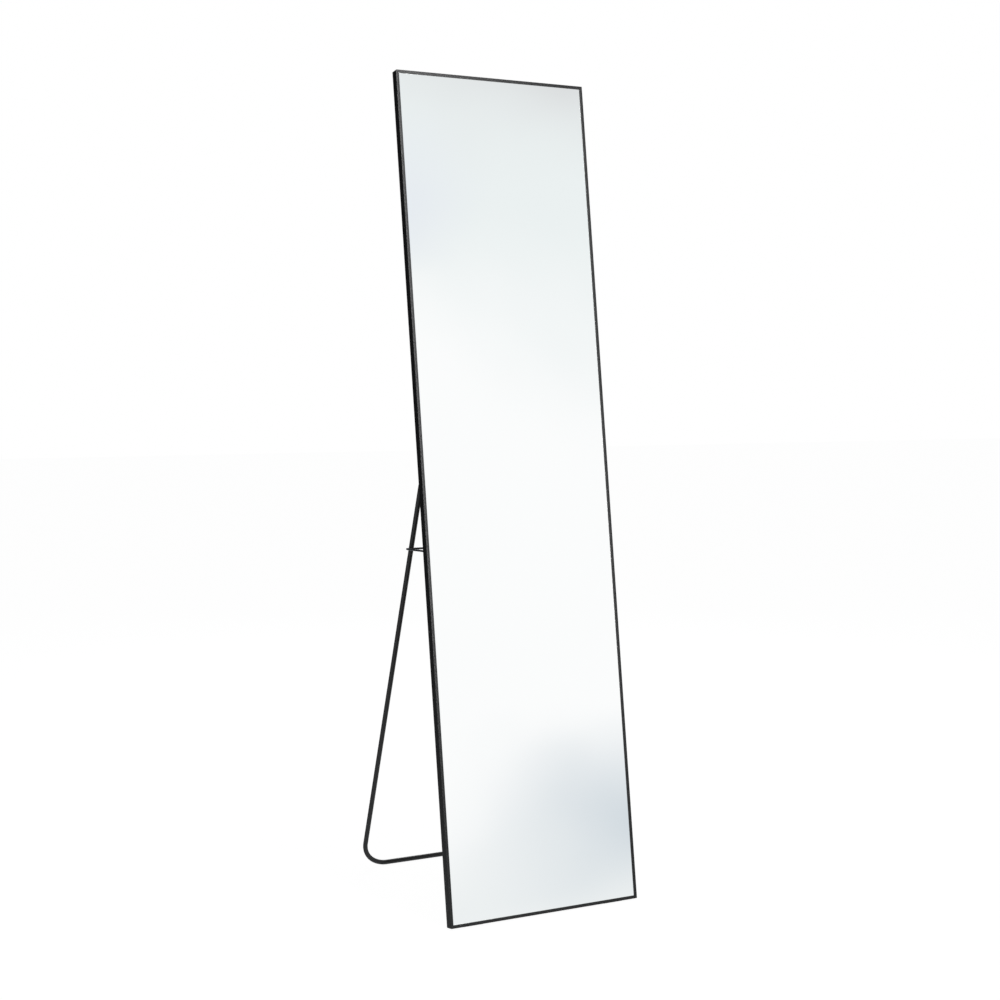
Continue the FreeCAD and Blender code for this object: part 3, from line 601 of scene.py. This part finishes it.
def make_key_screws():
    """Headless screws with a hexagon socket, just below the frame's back."""
    top = FRAME_DEPTH - KEY_SCREW_SUNK
    screw = round_bar((0, top - KEY_SCREW_LENGTH, 0), BACK, KEY_SCREW_RADIUS, KEY_SCREW_LENGTH)
    rounded(screw, lambda edge: not runs_along(edge, BACK), 0.35, 2)
    finished(screw)
    carved(screw, round_bar((0, top - KEY_SOCKET_DEPTH, 0), BACK, KEY_SOCKET_RADIUS, 3, 6))
    middle = BACK_WIDTH / 2
    spots = []
    for x in (HALF_WIDTH - middle, middle - HALF_WIDTH):
        spots += [(x, KEY_SCREW_REACH), (x, HEIGHT - KEY_SCREW_REACH)]
    for x in (HALF_WIDTH - KEY_SCREW_REACH, KEY_SCREW_REACH - HALF_WIDTH):
        spots += [(x, middle), (x, HEIGHT - middle)]
    repeated(screw, "key_screw", [Vector((x, 0, z)) for x, z in spots], "fastener_steel", "corner_key_screws")


def repeated(piece, name, spots, slot, node_name):
    """Copies of a piece on the mirror, one at each spot, in place of the piece itself."""
    for number, spot in enumerate(spots, start=1):
        settle(copied(piece, Matrix.Translation(spot)), f"{name}_{number}", "mirror", ON_MIRROR, slot, node_name)
    bpy.data.objects.remove(piece, do_unlink=True)


# ---- glass, board and pads ----

PAD_INNER = 130
PAD_OUTER = 170
PAD_FRONT = 4
PAD_REAR = 16.5
# The floor's distance below the rail at the pad's rear edge.
PAD_REAR_DROP = 0.8005
# How far a pad's front edge comes back per unit of its height.
PAD_FRONT_SLOPE = 2.5


def make_glass():
    """The pane, with ground edges."""
    side = HALF_WIDTH - GLASS_INSET
    glass = block((-side, LIP, GLASS_INSET), (side, GLASS_REAR, HEIGHT - GLASS_INSET))
    rounded(glass, lambda edge: abs(middle_of(edge).y - LIP) < 0.01, 0.6, 1)
    rounded(glass, lambda edge: abs(middle_of(edge).y - GLASS_REAR) < 0.01, 0.3, 1)
    settle(finished(glass), "mirror_pane", "mirror", ON_MIRROR, "mirror_face", "mirror_glass")


def make_board():
    """The hardboard that closes the back."""
    side = HALF_WIDTH - GLASS_INSET
    board = block((-side, BOARD_FRONT, GLASS_INSET), (side, WEB_FRONT, HEIGHT - GLASS_INSET))
    rounded(board, lambda edge: True, 0.25, 2)
    settle(finished(board), "back_board", "mirror", ON_MIRROR, "board", "backing_board")


def make_floor_pads():
    """Rubber wedges under the bottom rail, flat on the floor, whose sloped front edge hides them from the front."""
    floor_way = Matrix.Rotation(LEAN, 3, "X") @ -UP
    pad = block((-PAD_OUTER, PAD_FRONT, -4), (-PAD_INNER, PAD_REAR, 0))
    sliced((0, PAD_REAR, -PAD_REAR_DROP), floor_way, trim=True)
    sliced((0, PAD_FRONT, 0), (0, -1 / PAD_FRONT_SLOPE, -1), trim=True)
    rounded(pad, lambda edge: runs_along(edge, BACK) and middle_of(edge).z < -0.5, 0.4, 3)
    finished(pad)
    eased(pad, 0.18)
    settle(copied(pad, MIRRORED), "floor_pad_r", "mirror", ON_MIRROR, "pad_rubber", "floor_pad_right")
    settle(pad, "floor_pad_l", "mirror", ON_MIRROR, "pad_rubber", "floor_pad_left")


# ---- the stand's hinges ----

BRACKET_HALF = 4.9
BRACKET_HALF_LENGTH = 26
BRACKET_TOP = FRAME_DEPTH + BRACKET_WALL
BRACKET_CORNER = 2
BRACKET_SCREW_REACH = 18
EAR_TIP = PIN_DEPTH + EYE_HALF_WIDE
EAR_FOOT_ROUND = 0.8
BOLT_HEAD_RADIUS = 4.5
BOLT_HEAD_HEIGHT = 2.6
BOLT_HEAD_ROUND = 1.9
BOLT_SHANK_RADIUS = 2.5
BOLT_SHANK_LENGTH = 14.8
BOLT_SOCKET_RADIUS = 1.75
NUT_ACROSS = 8
NUT_HEIGHT = 4
NUT_TURNED_RADIUS = 4.7
WASHER_RADIUS = 5
WASHER_THICK = 0.8
SCREW_HEAD_RADIUS = 2.8
SCREW_HEAD_HEIGHT = 1.6
SCREW_SHANK_RADIUS = 1.5
SCREW_SHANK_LENGTH = 3.8


def hinge_bracket():
    """A folded bracket with two round-ended ears, on the left stile's back."""
    middle = Vector((-LEG_X, 0, HINGE_HEIGHT))
    low = (middle.x - BRACKET_HALF, FRAME_DEPTH, middle.z - BRACKET_HALF_LENGTH)
    high = (middle.x + BRACKET_HALF, BRACKET_TOP, middle.z + BRACKET_HALF_LENGTH)
    bracket = block(low, high)
    for way in (-1, 1):
        sliced(middle + ACROSS * way * EAR_GAP / 2, ACROSS)
        sliced(middle + UP * way * EYE_HALF_WIDE, UP)
    pick(bracket, "FACE", lambda face: face.normal.y > 0.9
         and abs(middle_of(face).x - middle.x) > EAR_GAP / 2 and abs(middle_of(face).z - middle.z) < EYE_HALF_WIDE)
    draw_out(0, EAR_TIP - BRACKET_TOP, 0)
    rounded(bracket, lambda edge: runs_along(edge, ACROSS) and middle_of(edge).y > EAR_TIP - 0.01,
            EYE_HALF_WIDE - 0.01, 10)
    rounded(bracket, lambda edge: runs_along(edge, BACK) and abs(middle_of(edge).x - middle.x) > BRACKET_HALF - 0.01
            and abs(middle_of(edge).z - middle.z) > BRACKET_HALF_LENGTH - 0.01, BRACKET_CORNER, 6)
    rounded(bracket, lambda edge: runs_along(edge, UP) and abs(middle_of(edge).y - BRACKET_TOP) < 0.01
            and abs(abs(middle_of(edge).x - middle.x) - EAR_GAP / 2) < 0.01
            and abs(middle_of(edge).z - middle.z) < EYE_HALF_WIDE, EAR_FOOT_ROUND, 4)
    finished(bracket)
    carved(bracket, round_bar((middle.x - 9, PIN_DEPTH, HINGE_HEIGHT), ACROSS, BOLT_HOLE / 2, 18, 32))
    eased(bracket, 0.12)
    # The rounds at the ears' feet leave two small gaps in the plate beside them.
    bpy.ops.object.mode_set(mode="EDIT")
    bpy.ops.mesh.select_all(action="SELECT")
    bpy.ops.mesh.fill_holes(sides=6)
    return finished(bracket)


def hinge_bolt():
    """A button-head bolt with a hexagon socket, put in from the left stile's outer side."""
    seat = -LEG_X - BRACKET_HALF
    top = seat - BOLT_HEAD_HEIGHT
    far = seat + BOLT_SHANK_LENGTH
    bolt = round_bar((top, PIN_DEPTH, HINGE_HEIGHT), ACROSS, BOLT_HEAD_RADIUS, BOLT_HEAD_HEIGHT, 64)
    pick_end(bolt, ACROSS)
    bpy.ops.mesh.inset(thickness=BOLT_HEAD_RADIUS - BOLT_SHANK_RADIUS)
    draw_out(BOLT_SHANK_LENGTH, 0, 0)
    rounded(bolt, lambda edge: not runs_along(edge, ACROSS) and abs(middle_of(edge).x - far) < 0.01, 0.5, 2)
    rounded(bolt, lambda edge: abs(middle_of(edge).x - top) < 0.01, BOLT_HEAD_ROUND, 7)
    finished(bolt)
    return carved(bolt, round_bar((seat - 4, PIN_DEPTH, HINGE_HEIGHT), ACROSS, BOLT_SOCKET_RADIUS, 3, 6))


def hinge_nut():
    """A hexagon nut with turned-off corners, on the bracket's inner side."""
    seat = -LEG_X + BRACKET_HALF
    start = (seat, PIN_DEPTH, HINGE_HEIGHT)
    nut = finished(round_bar(start, ACROSS, NUT_ACROSS / math.sqrt(3), NUT_HEIGHT, 6))
    turned = round_bar(start, ACROSS, NUT_TURNED_RADIUS, NUT_HEIGHT, 64)
    rounded(turned, lambda edge: not runs_along(edge, ACROSS), 0.6, 1)
    carved(nut, turned, "INTERSECT")
    carved(nut, round_bar((seat - 1, PIN_DEPTH, HINGE_HEIGHT), ACROSS, BOLT_HOLE / 2, 6))
    return eased(nut, 0.08)


def washer():
    """A nylon washer about the origin, with its axis along X."""
    disc = round_bar((0, 0, 0), ACROSS, WASHER_RADIUS, WASHER_THICK, 64)
    pick(disc, "FACE", lambda face: abs(face.normal.x) > 0.9)
    bpy.ops.mesh.inset(thickness=WASHER_RADIUS - BOLT_HOLE / 2)
    bpy.ops.mesh.bridge_edge_loops()
    return eased(finished(disc), 0.15)


def pan_screw():
    """A pan-head screw with a cross recess, driven in from its seat at the origin."""
    screw = round_bar((0, 0, 0), BACK, SCREW_HEAD_RADIUS, SCREW_HEAD_HEIGHT)
    rounded(screw, lambda edge: middle_of(edge).y > SCREW_HEAD_HEIGHT - 0.01, 1.15, 6)
    pick_end(screw, -BACK)
    bpy.ops.mesh.inset(thickness=SCREW_HEAD_RADIUS - SCREW_SHANK_RADIUS)
    draw_out(0, -SCREW_SHANK_LENGTH, 0)
    finished(screw)
    for half_x, half_z in ((1.6, 0.35), (0.35, 1.6)):
        recess = block((-half_x, 0.7, -half_z), (half_x, 2, half_z))
        pick_end(recess, -BACK)
        bpy.ops.transform.resize(value=(0.6, 1, 0.6), center_override=(0, 0.7, 0))
        carved(screw, recess)
    return eased(screw, 0.06, 1, 50)


def make_hinges():
    """Brackets, bolts, nuts, washers and screws, on both sides."""
    kinds = (
        ("hinge_bracket", hinge_bracket(), "bracket_steel"),
        ("hinge_bolt", hinge_bolt(), "fastener_steel"),
        ("hinge_nut", hinge_nut(), "fastener_steel"),
    )
    for name, piece, slot in kinds:
        settle(copied(piece, MIRRORED), f"{name}_r", "mirror", ON_MIRROR, slot, f"{name}_right")
        settle(piece, f"{name}_l", "mirror", ON_MIRROR, slot, f"{name}_left")
    rings = []
    for side in SIDES:
        for face in (side * LEG_X + EAR_GAP / 2 - WASHER_THICK, side * LEG_X - EAR_GAP / 2):
            rings.append(Vector((face, PIN_DEPTH, HINGE_HEIGHT)))
    repeated(washer(), "hinge_washer", rings, "nylon", "hinge_washers")
    heights = (HINGE_HEIGHT + BRACKET_SCREW_REACH, HINGE_HEIGHT - BRACKET_SCREW_REACH)
    spots = [Vector((side * LEG_X, BRACKET_TOP, height)) for side in SIDES for height in heights]
    repeated(pan_screw(), "hinge_screw", spots, "fastener_steel", "hinge_bracket_screws")


# ---- the stay's clips ----

CLIP_WALL = 1
CLIP_HUMP = 3.05
CLIP_BORE = 2.05
CLIP_HALF_LENGTH = 13
CLIP_TOP = FRAME_DEPTH + CLIP_WALL
CLIP_FOOT_ROUND = 0.6
CLIP_CORNER = 2
CLIP_SCREW_REACH = 8.5


def stay_clip():
    """A saddle clip over the wire's left end."""
    low = (-CLIP_NEAR, FRAME_DEPTH, STAY_HEIGHT - CLIP_HALF_LENGTH)
    high = (-CLIP_FAR, CLIP_TOP, STAY_HEIGHT + CLIP_HALF_LENGTH)
    clip = block(low, high)
    for way in (-1, 1):
        sliced((0, 0, STAY_HEIGHT + way * CLIP_HUMP), UP)
    pick(clip, "FACE", lambda face: face.normal.y > 0.9 and abs(middle_of(face).z - STAY_HEIGHT) < CLIP_HUMP)
    tip = STAY_DEPTH + CLIP_HUMP
    draw_out(0, tip - CLIP_TOP, 0)
    rounded(clip, lambda edge: runs_along(edge, ACROSS) and middle_of(edge).y > tip - 0.01, CLIP_HUMP - 0.01, 9)
    rounded(clip, lambda edge: runs_along(edge, ACROSS) and abs(middle_of(edge).y - CLIP_TOP) < 0.01
            and abs(middle_of(edge).z - STAY_HEIGHT) < CLIP_HUMP + 0.01, CLIP_FOOT_ROUND, 4)
    rounded(clip, lambda edge: runs_along(edge, BACK)
            and abs(middle_of(edge).z - STAY_HEIGHT) > CLIP_HALF_LENGTH - 0.01, CLIP_CORNER, 6)
    finished(clip)
    bore_start = (-CLIP_NEAR - 1, STAY_DEPTH, STAY_HEIGHT)
    carved(clip, round_bar(bore_start, ACROSS, CLIP_BORE, 10))
    low = (-CLIP_NEAR - 1, FRAME_DEPTH - 1, STAY_HEIGHT - CLIP_BORE)
    carved(clip, block(low, (-CLIP_FAR + 1, STAY_DEPTH, STAY_HEIGHT + CLIP_BORE)))
    return eased(clip, 0.1)


def make_stay_clips():
    """The clips and their screws, on both sides."""
    clip = stay_clip()
    settle(copied(clip, MIRRORED), "stay_clip_r", "mirror", ON_MIRROR, "bracket_steel", "stay_clip_right")
    settle(clip, "stay_clip_l", "mirror", ON_MIRROR, "bracket_steel", "stay_clip_left")
    middle = (CLIP_NEAR + CLIP_FAR) / 2
    heights = (STAY_HEIGHT + CLIP_SCREW_REACH, STAY_HEIGHT - CLIP_SCREW_REACH)
    spots = [Vector((side * middle, CLIP_TOP, height)) for side in SIDES for height in heights]
    repeated(pan_screw(), "clip_screw", spots, "fastener_steel", "stay_clip_screws")


# ---- the stand and the stay ----

ROD_BEND_STEPS = 28
BLEND_STEPS = 8
EYE_TOP_CUTS = (12, 24, 36, 48, 60, 70, 79)
WIRE_FAR_BEND = 7
WIRE_NEAR_BEND = 4
WIRE_END_ROUND = 0.5


def bend_round(centre, steps):
    """Sweep the open end of a tube through a quarter turn, from one run to the next."""
    bpy.ops.mesh.spin(steps=steps, angle=-math.pi / 2, center=centre, axis=(0, 1, 0))


def both_halves(piece):
    """Join a left half to its mirror image."""
    bpy.ops.object.mode_set(mode="OBJECT")
    applied(piece, "MIRROR", use_axis=(True, False, False), use_mirror_merge=True, merge_threshold=0.01)
    bpy.ops.object.mode_set(mode="EDIT")
    return finished(piece)


def flattened_ring(piece, height, half_thick):
    """Press the ring at a height flat on its two sides."""
    for way in (-1, 1):
        face = -LEG_X + way * half_thick
        pick(piece, "VERT", lambda point: abs(point.co.z - height) < 0.01 and way * (point.co.x - face) > 0)
        bpy.ops.transform.resize(value=(0, 1, 1), center_override=(face, 0, height))


def make_stand():
    """The rod: half of the bar, a bend and a leg whose end is forged to an eye, and their mirror image."""
    bar_end = LEG_X - ROD_BEND
    rod = open_ring((0, 0, -LEG_LENGTH), ACROSS, ROD_RADIUS)
    draw_out(-bar_end, 0, 0)
    bend_round((-bar_end, 0, ROD_BEND - LEG_LENGTH), ROD_BEND_STEPS)
    draw_out(0, 0, LEG_LENGTH - ROD_BEND - EYE_DROP - BLEND_LENGTH)
    height = -EYE_DROP - BLEND_LENGTH
    width = ROD_RADIUS
    for step in range(1, BLEND_STEPS + 1):
        share = step / BLEND_STEPS
        share = share * share * (3 - 2 * share)
        draw_out(0, 0, BLEND_LENGTH / BLEND_STEPS)
        height += BLEND_LENGTH / BLEND_STEPS
        wider = ROD_RADIUS + (EYE_HALF_WIDE - ROD_RADIUS) * share
        bpy.ops.transform.resize(value=(1, wider / width, 1), center_override=(-LEG_X, 0, height))
        width = wider
        flattened_ring(rod, height, ROD_RADIUS + (EYE_HALF_THICK - ROD_RADIUS) * share)
        pick(rod, "EDGE", lambda edge: all(abs(point.co.z - height) < 0.01 for point in edge.verts))
    draw_out(0, 0, EYE_DROP)
    height = 0
    for degrees in EYE_TOP_CUTS:
        turn = math.radians(degrees)
        rise = EYE_HALF_WIDE * math.sin(turn)
        draw_out(0, 0, rise - height)
        height = rise
        narrower = EYE_HALF_WIDE * math.cos(turn)
        bpy.ops.transform.resize(value=(1, narrower / width, 1), center_override=(-LEG_X, 0, height))
        width = narrower
    bpy.ops.mesh.edge_face_add()
    both_halves(rod)
    for side in SIDES:
        carved(rod, round_bar((side * LEG_X - 4, 0, 0), ACROSS, BOLT_HOLE / 2, 8))
    settle(rod, "stand_rod_bent", "stand", ON_STAND, "rod_black", "stand_rod")


def make_stay():
    """The wire: half of the crossbar, an arm and its bent end, and their mirror image."""
    bar_end = ARM_X - WIRE_FAR_BEND
    wire = open_ring((0, 0, -STAY_LENGTH), ACROSS, WIRE_RADIUS, 28)
    draw_out(-bar_end, 0, 0)
    bend_round((-bar_end, 0, WIRE_FAR_BEND - STAY_LENGTH), 12)
    draw_out(0, 0, STAY_LENGTH - WIRE_FAR_BEND - WIRE_NEAR_BEND)
    bend_round((WIRE_NEAR_BEND - ARM_X, 0, -WIRE_NEAR_BEND), 10)
    draw_out(ARM_X - WIRE_NEAR_BEND - WIRE_END_X, 0, 0)
    bpy.ops.mesh.edge_face_add()
    rounded(wire, lambda edge: abs(middle_of(edge).x + WIRE_END_X) < 0.01 and not runs_along(edge, ACROSS),
            WIRE_END_ROUND, 3)
    settle(both_halves(wire), "stay_wire_bent", "stay", ON_STAY, "wire_steel", "stay_wire")


make_frame()
make_key_screws()
make_glass()
make_board()
make_floor_pads()
make_hinges()
make_stay_clips()
make_stand()
make_stay()


# ---- studio ----

# The floor's glow to the camera, and its share beside the floor's own shading.
FLOOR_GLOW = 1.06
FLOOR_GLOW_SHARE = 0.9

# The studio as the mirror and the black finish see it: colours, and angles in degrees.
WHITE = (1.0, 1.0, 1.0, 1)
BLACK = (0.0, 0.0, 0.0, 1)
CEILING = (0.860, 0.899, 0.901, 1)
CEILING_EDGE = (12.5, 20.5)
CEILING_SLOPE = 0.6
CEILING_SLOPE_MIDDLE = 28.5
GROUND = (0.872, 0.895, 0.900, 1)
GROUND_EDGE = (1.0, -2.0)

# How far noise moves those edges, in radians.
EDGE_CLOUD = 0.10

# Soft ovals: the middle and the half sizes, as azimuth and elevation, and the colour.
PATCHES = (
    ((32.0, 0.0), (9.0, 3.8), (0.636, 0.694, 0.742, 1)),
    ((32.5, 26.5), (10.0, 6.5), (0.636, 0.625, 0.636, 1)),
    ((25.0, 21.0), (3.5, 3.0), (0.827, 0.859, 0.901, 1)),
)

# The dark corner behind the object: its direction, and the cosines between which it sets in.
CORNER_WAY = (-0.452, 0.828, 0.333)
CORNER_FADE = (0.60, 0.90)
CORNER_DARK = 0.98

# How much the half behind the object is darkened.
BEHIND_DARK = 0.5

# What lights matt surfaces from all round.
SOFT_LIGHT = (0.97, 0.985, 1, 1)
SOFT_STRENGTH = 0.38


def studio_floor():
    """A white floor that keeps a faint shadow of the object and leaves the mirror's view to the studio."""
    bpy.ops.object.select_all(action="DESELECT")
    bpy.ops.mesh.primitive_plane_add(size=40, location=(0, 0, 0))
    floor = bpy.context.object
    floor.name = "studio_floor"
    made = bpy.data.materials.new("studio_white")
    made.use_nodes = True
    tree = made.node_tree
    shader = tree.nodes["Principled BSDF"]
    shader.inputs["Base Color"].default_value = (0.9, 0.9, 0.9, 1)
    shader.inputs["Roughness"].default_value = 0.9
    shader.inputs["Specular IOR Level"].default_value = 0.0
    path = node(tree, "ShaderNodeLightPath").outputs
    white = node(tree, "ShaderNodeEmission", {"Color": WHITE, "Strength": FLOOR_GLOW})
    glow = maths(tree, "MULTIPLY", path["Is Camera Ray"], FLOOR_GLOW_SHARE)
    shown = node(tree, "ShaderNodeMixShader", {0: glow, 1: shader.outputs[0], 2: white.outputs[0]})
    open_floor = node(tree, "ShaderNodeBsdfTransparent")
    glossy = maths(tree, "MAXIMUM", path["Is Glossy Ray"], path["Is Transmission Ray"])
    blend = node(tree, "ShaderNodeMixShader", {0: glossy, 1: shown.outputs[0], 2: open_floor.outputs[0]})
    tree.links.new(blend.outputs[0], tree.nodes["Material Output"].inputs["Surface"])
    floor.data.materials.append(made)


def studio_patch(tree, azimuth, elevation, spot, reach):
    """A soft oval in the studio round the object: its middle and its half sizes, in degrees."""
    ways = []
    for angle, middle, half in zip((azimuth, elevation), spot, reach):
        offset = maths(tree, "SUBTRACT", angle, math.radians(middle))
        ways.append(maths(tree, "DIVIDE", offset, math.radians(half)))
    apart = node(tree, "ShaderNodeCombineXYZ", {0: ways[0], 1: ways[1]}).outputs[0]
    distance = node(tree, "ShaderNodeVectorMath", {0: apart}, operation="LENGTH").outputs["Value"]
    return remapped(tree, distance, 1.0, 0.0, 0.0, 1.0)


def studio_look(tree):
    """The colour of the studio in each direction."""
    way = node(tree, "ShaderNodeTexCoord").outputs["Generated"]
    parts = node(tree, "ShaderNodeSeparateXYZ", {0: way}).outputs
    azimuth = maths(tree, "ARCTAN2", parts["X"], maths(tree, "MULTIPLY", parts["Y"], -1.0))
    cloud = maths(tree, "MULTIPLY", maths(tree, "SUBTRACT", noise(tree, way, 9.0, 2.0), 0.5), EDGE_CLOUD)
    elevation = maths(tree, "ADD", maths(tree, "ARCSINE", parts["Z"]), cloud)
    aside = maths(tree, "SUBTRACT", azimuth, math.radians(CEILING_SLOPE_MIDDLE))
    raised = maths(tree, "ADD", elevation, maths(tree, "MULTIPLY", aside, CEILING_SLOPE))
    seen = WHITE
    for angle, edge, colour in ((raised, CEILING_EDGE, CEILING), (elevation, GROUND_EDGE, GROUND)):
        start, end = (math.radians(degrees) for degrees in edge)
        seen = mixed(tree, remapped(tree, angle, start, end, 0.0, 1.0), seen, colour)
    for spot, reach, colour in PATCHES:
        seen = mixed(tree, studio_patch(tree, azimuth, elevation, spot, reach), seen, colour)
    seen = mixed(tree, remapped(tree, parts["Y"], 0.0, 0.5, 0.0, BEHIND_DARK), seen, BLACK)
    corner = node(tree, "ShaderNodeVectorMath", {0: way, 1: CORNER_WAY}, operation="DOT_PRODUCT").outputs["Value"]
    return mixed(tree, remapped(tree, corner, *CORNER_FADE, 0.0, CORNER_DARK), seen, BLACK)


def studio_world():
    """White for the camera, the studio for gloss and glass, and an even light for the rest."""
    world = bpy.data.worlds.new("studio")
    bpy.context.scene.world = world
    world.use_nodes = True
    tree = world.node_tree
    tree.nodes.clear()
    path = node(tree, "ShaderNodeLightPath").outputs
    white = node(tree, "ShaderNodeBackground", {"Color": WHITE, "Strength": 1.0})
    shown = node(tree, "ShaderNodeBackground", {"Color": studio_look(tree), "Strength": 1.0})
    soft = node(tree, "ShaderNodeBackground", {"Color": SOFT_LIGHT, "Strength": SOFT_STRENGTH})
    glossy = maths(tree, "MAXIMUM", path["Is Glossy Ray"], path["Is Transmission Ray"])
    lit = node(tree, "ShaderNodeMixShader", {0: glossy, 1: soft.outputs[0], 2: shown.outputs[0]})
    final = node(tree, "ShaderNodeMixShader", {0: path["Is Camera Ray"], 1: lit.outputs[0], 2: white.outputs[0]})
    output = node(tree, "ShaderNodeOutputWorld")
    tree.links.new(final.outputs[0], output.inputs["Surface"])


def softbox(name, spot, target, width, height, power, for_gloss=False):
    """An area lamp, hidden from the camera; for_gloss keeps its light off matt shading."""
    lamp = bpy.data.lights.new(name, "AREA")
    lamp.shape = "RECTANGLE"
    lamp.size = width
    lamp.size_y = height
    lamp.energy = power
    holder = bpy.data.objects.new(name, lamp)
    holder.location = spot
    holder.rotation_euler = (Vector(target) - Vector(spot)).to_track_quat("-Z", "Y").to_euler()
    holder.visible_camera = False
    holder.visible_diffuse = not for_gloss
    bpy.context.scene.collection.objects.link(holder)


studio_floor()
studio_world()
softbox("front_softbox", (0.39, -2.46, 2.85), (0, 0, 0.85), 0.5, 1.2, 40)
softbox("tall_softbox", (0.68, -2.55, 1.75), (-0.1, 0, 1.5), 0.3, 2.2, 42, for_gloss=True)
softbox("left_softbox", (-2.5, -1.45, 2.3), (-0.2, 0, 0.9), 0.4, 1.4, 16)
softbox("back_softbox", (1.3, 2.6, 2.3), (0, 0, 0.7), 1.2, 1.2, 24)

# ---- finishes for the CAD nodes ----

for row in frame["record"]["subparts"]:
    piece = frame["nodes"][row["node"]]
    piece.data.materials.clear()
    piece.data.materials.append(FINISH[row["material_slot"]])
